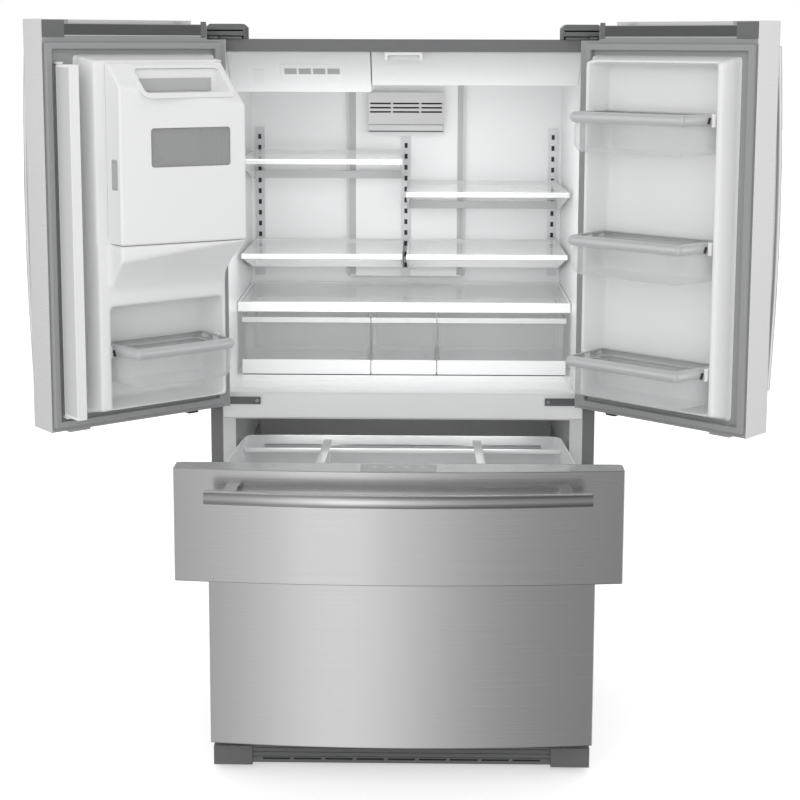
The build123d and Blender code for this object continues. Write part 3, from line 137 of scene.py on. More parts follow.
class Shader:
    """One material and the nodes in it."""

    def __init__(self, name: str) -> None:
        """Makes the material with an empty Principled BSDF."""
        self.material = bpy.data.materials.new(name)
        self.material.use_nodes = True
        self.tree = self.material.node_tree
        self.surface = self.tree.nodes["Principled BSDF"]
        self._place: Signal | None = None

    def node(self, kind: str, settings: dict | None = None, **inputs: object) -> bpy.types.Node:
        """Adds a node.

        Args:
            kind: node type without the ShaderNode prefix.
            settings: properties set on the node before its sockets.
            inputs: values or signals by socket name, with _ for a space.

        Returns:
            The new node.
        """
        made = self.tree.nodes.new("ShaderNode" + kind)
        for key, value in (settings or {}).items():
            setattr(made, key, value)
        for key, value in inputs.items():
            socket = made.inputs[key.replace("_", " ")]
            if isinstance(value, Signal):
                self.tree.links.new(value.socket, socket)
            else:
                socket.default_value = value
        return made

    def place(self) -> Signal:
        """Object coordinates, made once."""
        if self._place is None:
            self._place = Signal(self.tree, self.node("TexCoord").outputs["Object"])
        return self._place

    def noise(self, scale: Sequence[float], detail: float = 3.0, roughness: float = 0.55) -> Signal:
        """Noise stretched by a scale for each axis.

        Args:
            scale: features per metre along X, Y and Z.
            detail: octaves.
            roughness: strength of the finer octaves.

        Returns:
            The noise, about 0 to 1.
        """
        mapped = self.node("Mapping", Vector=self.place(), Scale=tuple(scale))
        vector = Signal(self.tree, mapped.outputs[0])
        made = self.node("TexNoise", Vector=vector, Scale=1.0, Detail=detail, Roughness=roughness)
        return Signal(self.tree, made.outputs[0])

    def blend(self, mask: Signal, low: Colour, high: Colour) -> Signal:
        """Colour from low to high by a mask.

        Args:
            mask: 0 to 1.
            low: colour where the mask is 0.
            high: colour where the mask is 1.

        Returns:
            The mixed colour.
        """
        mix = self.node("Mix", {"data_type": "RGBA"})
        self.tree.links.new(mask.socket, mix.inputs[0])
        mix.inputs[6].default_value = (*low, 1.0)
        mix.inputs[7].default_value = (*high, 1.0)
        return Signal(self.tree, mix.outputs[2])

    def feed(self, **inputs: object) -> None:
        """Sets or links sockets of the Principled BSDF, with _ for a space."""
        for key, value in inputs.items():
            socket = self.surface.inputs[key.replace("_", " ")]
            if isinstance(value, Signal):
                self.tree.links.new(value.socket, socket)
            else:
                socket.default_value = value

    def bump(self, height: Signal, strength: float, depth: float) -> None:
        """Relief on the surface.

        Args:
            height: relief signal, about 0 to 1.
            strength: share of the relief that shows.
            depth: its depth in metres.
        """
        made = self.node("Bump", Height=height, Strength=strength, Distance=depth)
        self.feed(Normal=Signal(self.tree, made.outputs[0]))


# ------------------------------------------------------------------ finishes


class Grain(Enum):
    """Direction of a brushed finish, as noise scales along X, Y and Z."""

    ACROSS = (2.2, 2.2, 950.0)
    UPRIGHT = (900.0, 900.0, 2.0)


@dataclass(frozen=True)
class BrushedSteel:
    """Stainless steel with fine parallel scratches and faint broad tone changes."""

    name: str
    grain: Grain = Grain.ACROSS
    tone: float = 0.66
    roughness: float = 0.25

    def build(self) -> bpy.types.Material:
        """Makes the material."""
        shader = Shader(self.name)
        lines = shader.noise(self.grain.value, 4.0, 0.7)
        fine = shader.noise(tuple(3.1 * value for value in self.grain.value), 2.0, 0.6)
        broad = shader.noise((1.3, 1.3, 1.1), 1.0)
        mask = lines * 0.55 + fine * 0.25 + broad * 0.2
        dark, light = self.tone * 0.86, min(1.0, self.tone * 1.13)
        shader.feed(
            Base_Color=shader.blend(mask, (dark, dark, dark * 1.005), (light, light, light * 0.995)),
            Metallic=1.0,
            Roughness=lines * 0.16 + (self.roughness - 0.08),
        )
        shader.bump(lines * 0.7 + fine * 0.3, 0.06, 0.0002)
        return shader.material


@dataclass(frozen=True)
class Moulding:
    """Moulded plastic or paint: a colour, a sheen and a faint surface texture."""

    name: str
    colour: Colour
    roughness: float = 0.35
    coat: float = 0.0
    grit: float = 260.0
    relief: float = 0.06
    metallic: float = 0.0

    def build(self) -> bpy.types.Material:
        """Makes the material."""
        shader = Shader(self.name)
        peel = shader.noise((self.grit,) * 3, 2.0)
        broad = shader.noise((3.0, 3.0, 2.4), 2.0)
        low = tuple(value * 0.985 for value in self.colour)
        high = tuple(min(1.0, value * 1.01) for value in self.colour)
        shader.feed(
            Base_Color=shader.blend(broad * 0.6 + peel * 0.4, low, high),
            Roughness=broad * 0.08 + peel * 0.06 + (self.roughness - 0.07),
            Metallic=self.metallic,
            Coat_Weight=self.coat,
            Coat_Roughness=0.18,
        )
        shader.bump(peel, self.relief, 0.0004)
        return shader.material


@dataclass(frozen=True)
class Clear:
    """Clear plastic or glass: nearly unseen face on, fuller where it is seen edge on."""

    name: str
    tint: Colour
    face: float = 0.10
    edge: float = 0.62
    roughness: float = 0.06

    def build(self) -> bpy.types.Material:
        """Makes the material."""
        shader = Shader(self.name)
        rim = Signal(shader.tree, shader.node("LayerWeight", Blend=0.35).outputs["Facing"])
        streak = shader.noise((9.0, 9.0, 5.0), 2.0)
        shader.feed(
            Base_Color=shader.blend(streak, tuple(0.95 * value for value in self.tint), self.tint),
            Roughness=streak * 0.05 + self.roughness,
            Alpha=(rim ** 1.6) * (self.edge - self.face) + streak * 0.03 + self.face,
            IOR=1.5,
        )
        return shader.material


@dataclass(frozen=True)
class Lamp:
    """Lit diffuser of a ceiling light."""

    name: str
    colour: Colour = (1.0, 0.99, 0.96)
    strength: float = 3.0

    def build(self) -> bpy.types.Material:
        """Makes the material."""
        shader = Shader(self.name)
        prism = shader.noise((320.0, 320.0, 320.0), 1.0)
        glow = shader.blend(prism, tuple(0.9 * value for value in self.colour), self.colour)
        shader.feed(Base_Color=glow, Roughness=0.4, Emission_Color=glow, Emission_Strength=self.strength)
        return shader.material


class Finishes:
    """All the finishes, each built when it is first asked for."""

    STEEL = BrushedSteel("brushed_steel_across")
    STEEL_UPRIGHT = BrushedSteel("brushed_steel_upright", Grain.UPRIGHT)
    BAR = BrushedSteel("handle_bar_across", Grain.ACROSS, 0.66, 0.16)
    GRILLE = BrushedSteel("filter_cover_steel", Grain.ACROSS, 0.78, 0.32)
    PLAIN_STEEL = Moulding("zinc_plated_steel", (0.52, 0.52, 0.53), 0.38, metallic=1.0)
    LADDER = Moulding("ladder_steel", (0.74, 0.74, 0.75), 0.34, metallic=0.7)
    PALE_LINER = Moulding("pale_grey_liner", (0.62, 0.623, 0.627), 0.36, 0.2, 60.0, 0.0015)
    # Grey of the latch grip, the port chute and the shelf strips, and painted shade along the duct edges.
    SHADE_GREY = Moulding("grey_parts_and_painted_duct_shade", (0.47, 0.473, 0.477), 0.40, 0.2, 200.0, 0.01)
    WHITE = Moulding("white_liner_gloss", (0.87, 0.873, 0.876), 0.36, 0.2, 60.0, 0.0015)
    WHITE_TRIM = Moulding("white_trim_gloss", (0.89, 0.893, 0.896), 0.20, 0.5, 60.0, 0.0015)
    WHITE_SATIN = Moulding("white_satin", (0.84, 0.843, 0.846), 0.42, 0.0, 300.0, 0.02)
    BAND_GREY = Moulding("door_band_grey", (0.335, 0.338, 0.342), 0.46, 0.0, 420.0, 0.03)
    HINGE_STEEL = Moulding("hinge_grey_steel", (0.17, 0.172, 0.175), 0.38, 0.1, 300.0, 0.05, 0.5)
    CLOUDY = Clear("milky_tub", (0.93, 0.94, 0.945), 0.62, 0.93, 0.30)
    FLIPPER_GREY = Moulding("flipper_face_grey", (0.60, 0.603, 0.607), 0.38, 0.2, 200.0, 0.01)
    CASE = Moulding("case_grey_paint", (0.165, 0.167, 0.170), 0.42, 0.1, 600.0, 0.08)
    CAP = Moulding("cap_grey_plastic", (0.150, 0.152, 0.155), 0.48, 0.0, 420.0, 0.06)
    CHANNEL = Moulding("cap_channel_grey", (0.080, 0.081, 0.083), 0.50, 0.0, 420.0, 0.06)
    SEAL = Moulding("gasket_grey_rubber", (0.33, 0.333, 0.337), 0.62, 0.0, 240.0, 0.10)
    SILVER = Moulding("silver_rim_plastic", (0.60, 0.605, 0.61), 0.30, 0.3, 260.0, 0.04, 0.25)
    MID_GREY = Moulding("mid_grey_plastic", (0.42, 0.423, 0.427), 0.42, 0.0, 300.0, 0.06)
    # Black of the real black parts, also used as painted shade in the filter and ladder slots, bin clip slots
    # and under the crispers.
    BLACK_PARTS_AND_PAINTED_SHADE = Moulding("black_plastic", (0.022, 0.022, 0.024), 0.45, 0.0, 360.0, 0.10)
    BLACK_GLOSS = Moulding("black_gloss_panel", (0.010, 0.010, 0.012), 0.10, 0.8, 120.0, 0.01)
    ENAMEL = Moulding("black_enamel", (0.018, 0.018, 0.019), 0.30, 0.3, 200.0, 0.08)
    COIL = Moulding("bare_aluminium", (0.78, 0.78, 0.79), 0.36, metallic=1.0)
    FOAM = Moulding("rigid_foam", (0.80, 0.72, 0.48), 0.85, 0.0, 900.0, 0.30)
    CLEAR_BIN = Clear("clear_bin_plastic", (0.92, 0.93, 0.935), 0.10, 0.62)
    CLEAR_DRAWER = Clear("clear_drawer_plastic", (0.93, 0.94, 0.945), 0.12, 0.58)
    CLEAR_TRIM = Clear("clear_shelf_trim", (0.90, 0.905, 0.91), 0.50, 0.88, 0.16)
    CLEAR_RIM = Clear("clear_rim_plastic", (0.95, 0.955, 0.96), 0.45, 0.85, 0.12)
    GLASS = Clear("shelf_glass_clear", (0.90, 0.93, 0.925), 0.07, 0.55, 0.03)
    SMOKED = Clear("smoked_window", (0.62, 0.625, 0.63), 0.34, 0.70, 0.05)
    LAMP = Lamp("lamp_lens")

    def __init__(self) -> None:
        """Starts with no material built."""
        self._built: dict[str, bpy.types.Material] = {}

    def get(self, finish: BrushedSteel | Moulding | Clear | Lamp) -> bpy.types.Material:
        """The material of a finish."""
        if finish.name not in self._built:
            self._built[finish.name] = finish.build()
        return self._built[finish.name]

    def dress(self, piece: bpy.types.Object, finish: BrushedSteel | Moulding | Clear | Lamp) -> None:
        """Puts one finish all over a piece."""
        piece.data.materials.clear()
        piece.data.materials.append(self.get(finish))


# ------------------------------------------------------------------ mesh work


class Bench:
    """Modelling steps shared by the sub-assemblies."""

    @staticmethod
    def only(piece: bpy.types.Object) -> bpy.types.Object:
        """Selects one object and makes it active."""
        bpy.ops.object.select_all(action="DESELECT")
        piece.select_set(True)
        bpy.context.view_layer.objects.active = piece
        return piece

    @classmethod
    def edit(cls, piece: bpy.types.Object, mode: str = "FACE") -> None:
        """Opens a piece in edit mode with nothing selected."""
        cls.only(piece)
        bpy.ops.object.mode_set(mode="EDIT")
        bpy.ops.mesh.select_mode(type=mode)
        bpy.ops.mesh.select_all(action="DESELECT")

    @staticmethod
    def done() -> None:
        """Closes edit mode."""
        bpy.ops.object.mode_set(mode="OBJECT")

    @staticmethod
    def block(name: str, low: Sequence[float], high: Sequence[float]) -> bpy.types.Object:
        """Box between two corners, with its place in its mesh.

        Args:
            name: piece name.
            low: lowest corner in metres.
            high: highest corner in metres.

        Returns:
            The new piece.
        """
        middle = [(a + b) / 2 for a, b in zip(low, high)]
        size = [b - a for a, b in zip(low, high)]
        bpy.ops.object.select_all(action="DESELECT")
        bpy.ops.mesh.primitive_cube_add(size=1.0, location=middle)
        piece = bpy.context.object
        piece.name = name
        piece.scale = size
        bpy.ops.object.transform_apply(location=True, rotation=True, scale=True)
        return piece

    @staticmethod
    def rod(
        name: str, start: Sequence[float], end: Sequence[float], radius: float, sides: int = 24
    ) -> bpy.types.Object:
        """Round rod between two points.

        Args:
            name: piece name.
            start: centre of one end in metres.
            end: centre of the other end in metres.
            radius: its radius in metres.
            sides: faces around it.

        Returns:
            The new piece.
        """
        along = Vector(end) - Vector(start)
        turn = along.to_track_quat("Z", "Y").to_euler()
        bpy.ops.object.select_all(action="DESELECT")
        bpy.ops.mesh.primitive_cylinder_add(
            vertices=sides, radius=radius, depth=along.length,
            location=(Vector(start) + Vector(end)) / 2, rotation=turn
        )
        piece = bpy.context.object
        piece.name = name
        bpy.ops.object.transform_apply(location=True, rotation=True, scale=True)
        return piece

    @staticmethod
    def pick(piece: bpy.types.Object, test: Callable[[bpy.types.MeshPolygon], bool]) -> int:
        """Selects the faces that a test accepts, from object mode.

        Args:
            piece: the mesh piece.
            test: says whether a face is wanted.

        Returns:
            How many faces were selected.
        """
        for vertex in piece.data.vertices:
            vertex.select = False
        for edge in piece.data.edges:
            edge.select = False
        count = 0
        for face in piece.data.polygons:
            face.select = bool(test(face))
            count += face.select
        return count

    @classmethod
    def drop_faces(cls, piece: bpy.types.Object, test: Callable[[bpy.types.MeshPolygon], bool]) -> None:
        """Deletes the faces that a test accepts."""
        cls.edit(piece)
        cls.done()
        if cls.pick(piece, test):
            bpy.ops.object.mode_set(mode="EDIT")
            bpy.ops.mesh.delete(type="FACE")
            cls.done()

    @classmethod
    def modify(cls, piece: bpy.types.Object, kind: str, **settings: object) -> bpy.types.Object:
        """Adds a modifier and applies it.

        Args:
            piece: the mesh piece.
            kind: modifier type.
            settings: its properties.

        Returns:
            The same piece.
        """
        cls.only(piece)
        modifier = piece.modifiers.new(kind.lower(), kind)
        for key, value in settings.items():
            setattr(modifier, key, value)
        bpy.ops.object.modifier_apply(modifier=modifier.name)
        return piece

    @classmethod
    def rounded(
        cls, piece: bpy.types.Object, radius: float, segments: int = 3, angle: float = 35.0
    ) -> bpy.types.Object:
        """Rounds a piece's edges and smooths its shading.

        Args:
            piece: the mesh piece.
            radius: radius of the edges in metres.
            segments: faces across each round.
            angle: sharpest edge left alone, in degrees.

        Returns:
            The same piece.
        """
        cls.modify(
            piece, "BEVEL", width=radius, segments=segments, limit_method="ANGLE",
            angle_limit=math.radians(angle), use_clamp_overlap=True,
        )
        return cls.smooth(piece)

    @classmethod
    def smooth(cls, piece: bpy.types.Object, angle: float = 34.0) -> bpy.types.Object:
        """Smooth shading below an angle in degrees."""
        cls.only(piece)
        bpy.ops.object.shade_smooth_by_angle(angle=math.radians(angle), keep_sharp_edges=False)
        return cls.modify(piece, "WEIGHTED_NORMAL", mode="FACE_AREA", weight=50, keep_sharp=True)

    @classmethod
    def copy_of(cls, node: str, name: str, flat: bool = True) -> bpy.types.Object:
        """Merged copy of a CAD node's mesh.

        Args:
            node: the CAD node.
            name: the new piece's name.
            flat: whether its flat faces are joined up.

        Returns:
            The new piece, at the origin.
        """
        source = FRAME["nodes"][node]
        piece = bpy.data.objects.new(name, source.data.copy())
        bpy.context.scene.collection.objects.link(piece)
        piece.data.materials.clear()
        cls.edit(piece, "VERT")
        bpy.ops.mesh.select_all(action="SELECT")
        bpy.ops.mesh.customdata_custom_splitnormals_clear()
        bpy.ops.mesh.remove_doubles(threshold=0.00001)
        if flat:
            bpy.ops.mesh.dissolve_limited(angle_limit=math.radians(0.8))
        cls.done()
        return piece

    @classmethod
    def joined(cls, name: str, pieces: Sequence[bpy.types.Object]) -> bpy.types.Object:
        """Several pieces as one.

        Args:
            name: name of the whole.
            pieces: the pieces, the first of which takes in the others.

        Returns:
            The joined piece.
        """
        cls.only(pieces[0])
        for piece in pieces[1:]:
            piece.select_set(True)
        bpy.ops.object.join()
        pieces[0].name = name
        return pieces[0]

    @classmethod
    def copies(cls, piece: bpy.types.Object, moves: Iterable[Sequence[float]]) -> list[bpy.types.Object]:
        """Copies of a piece, each moved and with its own mesh.

        Args:
            piece: the piece to repeat, which is kept.
            moves: a shift in metres for each copy.

        Returns:
            The piece and its copies.
        """
        made = [piece]
        for index, move in enumerate(moves):
            twin = piece.copy()
            twin.data = piece.data.copy()
            twin.name = f"{piece.name}_{index + 2}"
            twin.data.transform(Matrix.Translation(move))
            bpy.context.scene.collection.objects.link(twin)
            made.append(twin)
        return made

    @classmethod
    def open_tub(
        cls, name: str, low: Sequence[float], high: Sequence[float], corner: float, foot: float,
        wall: float,
        taper: float = 0.0,
    ) -> bpy.types.Object:
        """Open-topped tub with rounded corners.

        Args:
            name: piece name.
            low: lowest outer corner in metres.
            high: highest outer corner in metres.
            corner: radius of the upright corners.
            foot: radius around the floor.
            wall: wall thickness, taken inwards.
            taper: how far each side leans in towards the floor.

        Returns:
            The new piece.
        """
        piece = cls.block(name, low, high)
        top, floor = high[2] - 1e-5, low[2] + 1e-5
        if taper:
            cls.edit(piece, "VERT")
            cls.done()
            for vertex in piece.data.vertices:
                vertex.select = vertex.co.z < floor
            bpy.ops.object.mode_set(mode="EDIT")
            share_x = 1 - 2 * taper / (high[0] - low[0])
            share_y = 1 - 2 * taper / (high[1] - low[1])
            bpy.ops.transform.resize(value=(share_x, share_y, 1.0))
            cls.done()
        cls.edit(piece, "EDGE")
        cls.done()
        for edge in piece.data.edges:
            ends = [piece.data.vertices[index].co for index in edge.vertices]
            edge.select = abs(ends[0].z - ends[1].z) > 0.5 * (high[2] - low[2])
        bpy.ops.object.mode_set(mode="EDIT")
        bpy.ops.mesh.bevel(offset=corner, segments=6, affect="EDGES", clamp_overlap=True)
        cls.done()
        cls.drop_faces(piece, lambda face: face.center.z > top)
        cls.modify(
            piece, "BEVEL", width=foot, segments=4, limit_method="ANGLE", angle_limit=math.radians(60.0),
            use_clamp_overlap=True,
        )
        cls.modify(piece, "SOLIDIFY", thickness=wall, offset=-1.0)
        return cls.smooth(piece, 40.0)

    @classmethod
    def round_upright(
        cls, piece: bpy.types.Object, axis: int, corner: float, segments: int = 6
    ) -> bpy.types.Object:
        """Rounds the edges of a box that run along one axis.

        Args:
            piece: the box.
            axis: 0, 1 or 2 for X, Y or Z.
            corner: radius in metres.
            segments: faces across each round.

        Returns:
            The same piece.
        """
        cls.edit(piece, "EDGE")
        cls.done()
        for edge in piece.data.edges:
            ends = [piece.data.vertices[index].co for index in edge.vertices]
            span = ends[1] - ends[0]
            edge.select = abs(span[axis]) > 0.98 * span.length
        bpy.ops.object.mode_set(mode="EDIT")
        bpy.ops.mesh.bevel(offset=corner, segments=segments, affect="EDGES", clamp_overlap=True)
        cls.done()
        return piece

    @classmethod
    def trim(
        cls, piece: bpy.types.Object, point: Sequence[float], normal: Sequence[float]
    ) -> bpy.types.Object:
        """Cuts off what lies beyond a plane and closes the cut.

        Args:
            piece: the mesh piece.
            point: a point on the plane.
            normal: the side that goes.

        Returns:
            The same piece.
        """
        cls.edit(piece)
        bpy.ops.mesh.select_all(action="SELECT")
        bpy.ops.mesh.bisect(plane_co=point, plane_no=normal, use_fill=True, clear_outer=True)
        cls.done()
        return piece

    @classmethod
    def cut(cls, piece: bpy.types.Object, cutter: bpy.types.Object) -> bpy.types.Object:
        """Takes a cutter's shape out of a piece and keeps the cutter."""
        return cls.modify(piece, "BOOLEAN", operation="DIFFERENCE", object=cutter, solver="EXACT")

    @classmethod
    def tube_along(cls, name: str, points: Sequence[Sequence[float]], radius: float) -> bpy.types.Object:
        """Bent wire through a few points, as a mesh.

        Args:
            name: piece name.
            points: its corners in metres.
            radius: radius of the wire.

        Returns:
            The new piece.
        """
        curve = bpy.data.curves.new(name + "_path", "CURVE")
        curve.dimensions = "3D"
        curve.bevel_depth = radius
        curve.bevel_resolution = 4
        curve.use_fill_caps = True
        line = curve.splines.new("NURBS")
        line.points.add(len(points) - 1)
        for target, point in zip(line.points, points):
            target.co = (*point, 1.0)
        line.use_endpoint_u = True
        line.order_u = 3
        route = bpy.data.objects.new(name + "_route", curve)
        bpy.context.scene.collection.objects.link(route)
        mesh = bpy.data.meshes.new_from_object(route)
        bpy.data.objects.remove(route)
        piece = bpy.data.objects.new(name, mesh)
        bpy.context.scene.collection.objects.link(piece)
        return cls.smooth(piece, 50.0)


FRAME: dict = {}
FINISH = Finishes()


def settle(
    piece: bpy.types.Object, body: str, finish: BrushedSteel | Moulding | Clear | Lamp, slot: str,
    *nodes: str
) -> bpy.types.Object:
    """Dresses a finished piece and lets it ride.

    Args:
        piece: the finished piece.
        body: the CAD body that it moves with.
        finish: its finish.
        slot: the record's material slot; not used.
        nodes: CAD nodes that it stands for.

    Returns:
        The same piece.
    """
    FINISH.dress(piece, finish)
    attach(piece, body)
    if nodes:
        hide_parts(*nodes)
    LOG.info("made %s on %s", piece.name, body)
    return piece


@dataclass(frozen=True)
class Layout:
    """Sizes shared by the sub-assemblies, read from the frame, in metres."""

    half: float
    front: float
    door_low: float
    door_high: float
    liner_floor: float

    @classmethod
    def read(cls) -> "Layout":
        """Reads the layout from the CAD nodes' boxes."""
        shell_low, shell_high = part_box("cabinet_shell")
        skin_low, skin_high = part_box("left_door_skin")
        return cls(
            half=shell_high.x, front=shell_low.y, door_low=skin_low.z, door_high=skin_high.z,
            liner_floor=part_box("fresh_food_liner")[0].z + LINER_WALL,
        )

    def at(self, depth: float) -> float:
        """Y of a depth in millimetres behind the cabinet's front plane."""
        return self.front + depth * MM


@dataclass
class Softened:
    """CAD nodes whose shape is kept and whose edges are rounded as pressed or moulded parts are."""

    node: str
    body: str
    finish: BrushedSteel | Moulding | Clear | Lamp
    slot: str
    radius: float
    segments: int = 2

    def build(self) -> bpy.types.Object:
        """Copies the node, rounds it and lets the copy stand for it."""
        piece = Bench.copy_of(self.node, self.node + "_body")
        Bench.rounded(piece, self.radius, self.segments)
        return settle(piece, self.body, self.finish, self.slot, self.node)


@dataclass
class Shelled:
    """Thin sheet or cover rebuilt from its outer faces, so that its edges can be rounder than its wall."""

    node: str
    body: str
    finish: BrushedSteel | Moulding | Clear | Lamp
    slot: str
    radius: float
    wall: float

    def build(self) -> bpy.types.Object:
        """Drops the inner faces of the node's copy, rounds it and gives it its wall again."""
        piece = Bench.copy_of(self.node, self.node + "_body")
        low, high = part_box(self.node)
        middle = (low + high) / 2

        def unwanted(face: bpy.types.MeshPolygon) -> bool:
            """Whether a face is on the inside or is only the sheet's cut edge."""
            corners = [piece.data.vertices[index].co for index in face.vertices]
            around = sum((a - b).length for a, b in zip(corners, corners[1:] + corners[:1]))
            return (face.center - middle).dot(face.normal) < 0.0 or 2.0 * face.area < 1.5 * MM * around

        Bench.drop_faces(piece, unwanted)
        Bench.modify(
            piece, "BEVEL", width=self.radius, segments=3, limit_method="ANGLE",
            angle_limit=math.radians(40.0),
            use_clamp_overlap=True,
        )
        Bench.modify(piece, "SOLIDIFY", thickness=self.wall, offset=-1.0)
        Bench.smooth(piece)
        return settle(piece, self.body, self.finish, self.slot, self.node)


# ------------------------------------------------------------------ sub-assemblies


@dataclass
class Cabinet:
    """Hinge covers, hinges, divider rails, toe grille and the rear panel."""

    layout: Layout
    grille_ribs: int = 3
    grille_step: float = 11 * MM
    groove_places: tuple[float, ...] = (-0.30, -0.10, 0.10, 0.30)
    groove_half: float = 12 * MM
    press_depth: float = 0.7 * MM
    dimple_radius: float = 7.5 * MM
    screw_radius: float = 4.2 * MM
    screw_columns: tuple[float, ...] = (-0.43, -0.215, 0.0, 0.215, 0.43)

    def build(self) -> None:
        """Builds the cabinet's pieces."""
        Softened("hinge_covers", "cabinet", FINISH.CAP, "grey_paint", 3.0 * MM, 3).build()
        Softened("door_hinges", "cabinet", FINISH.HINGE_STEEL, "galvanised", 0.7 * MM).build()
        Softened("base_grille", "cabinet", FINISH.CAP, "grey_plastic", 1.6 * MM, 3).build()
        Softened("divider_rails", "cabinet", FINISH.WHITE_SATIN, "white_liner", 2.0 * MM).build()
        self.hinge_screws()
        self.hinge_brows()
        self.grille_bands()
        self.rear_details()

    def hinge_brows(self) -> None:
        """Closed fronts of the top hinge covers, above the hinge arms."""
        low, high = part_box("hinge_covers")
        for side, label in ((-1, "left"), (1, "right")):
            x = sorted((side * (self.layout.half - 3 * MM), side * (self.layout.half - 88 * MM)))
            brow = Bench.block(
                f"hinge_brow_{label}", (x[0], low.y, low.z + 7 * MM),
                (x[1], low.y + 5 * MM, high.z - 12 * MM),
            )
            Bench.rounded(brow, 1.4 * MM, 3)
            settle(brow, "cabinet", FINISH.CAP, "grey_paint")

    def hinge_screws(self) -> None:
        """Pan-head screws on the centre hinge plates."""
        for side, label in ((-1, "left"), (1, "right")):
            centre = (
                side * (self.layout.half - 110 * MM), self.layout.at(-4), self.layout.door_low + 2 * MM
            )
            head = Bench.rod(
                f"hinge_screw_{label}", centre, (centre[0], centre[1] - 2.4 * MM, centre[2]), 4.4 * MM
            )
            Bench.rounded(head, 1.0 * MM, 3)
            settle(head, "cabinet", FINISH.PLAIN_STEEL, "galvanised")

    def grille_bands(self) -> None:
        """Ribs along the toe grille."""
        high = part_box("base_grille")[1]
        reach = self.layout.half - 95 * MM
        for index in range(self.grille_ribs):
            height = high.z - 9 * MM - self.grille_step * index
            rib = Bench.block(
                f"grille_rib_{index + 1}", (-reach, self.layout.at(-30.5), height),
                (reach, self.layout.at(-27), height + 3.2 * MM),
            )
            Bench.rounded(rib, 1.2 * MM, 3)
            settle(rib, "cabinet", FINISH.CAP, "grey_plastic")

    def rear_details(self) -> None:
        """Rear panel with pressed grooves, and its screws in their dimples."""
        low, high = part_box("rear_panel")
        rear = high.y
        panel = Bench.copy_of("rear_panel", "rear_panel_pressed")
        sunk, past = rear - self.press_depth, rear + 5 * MM
        cutters = []
        for x in self.groove_places:
            side = self.groove_half
            cutters.append(
                Bench.block("groove", (x - side, sunk, low.z + 0.36), (x + side, past, high.z - 0.12))
            )
        screws = []
        for x in self.screw_columns:
            for z in (low.z + 0.02, low.z + 0.31, high.z - 0.02):
                cutters.append(Bench.rod("dimple", (x, sunk, z), (x, past, z), self.dimple_radius))
                foot, head = rear - 1.0 * MM, rear - 0.05 * MM
                screws.append(Bench.rod("rear_screw", (x, foot, z), (x, head, z), self.screw_radius, 16))
        cutter = Bench.joined("rear_cutter", cutters)
        Bench.cut(panel, cutter)
        bpy.data.objects.remove(cutter)
        Bench.smooth(panel)
        settle(panel, "cabinet", FINISH.PLAIN_STEEL, "galvanised", "rear_panel")
        piece = Bench.joined("rear_screws", screws)
        Bench.rounded(piece, 0.35 * MM, 2)
        settle(piece, "cabinet", FINISH.PLAIN_STEEL, "galvanised")


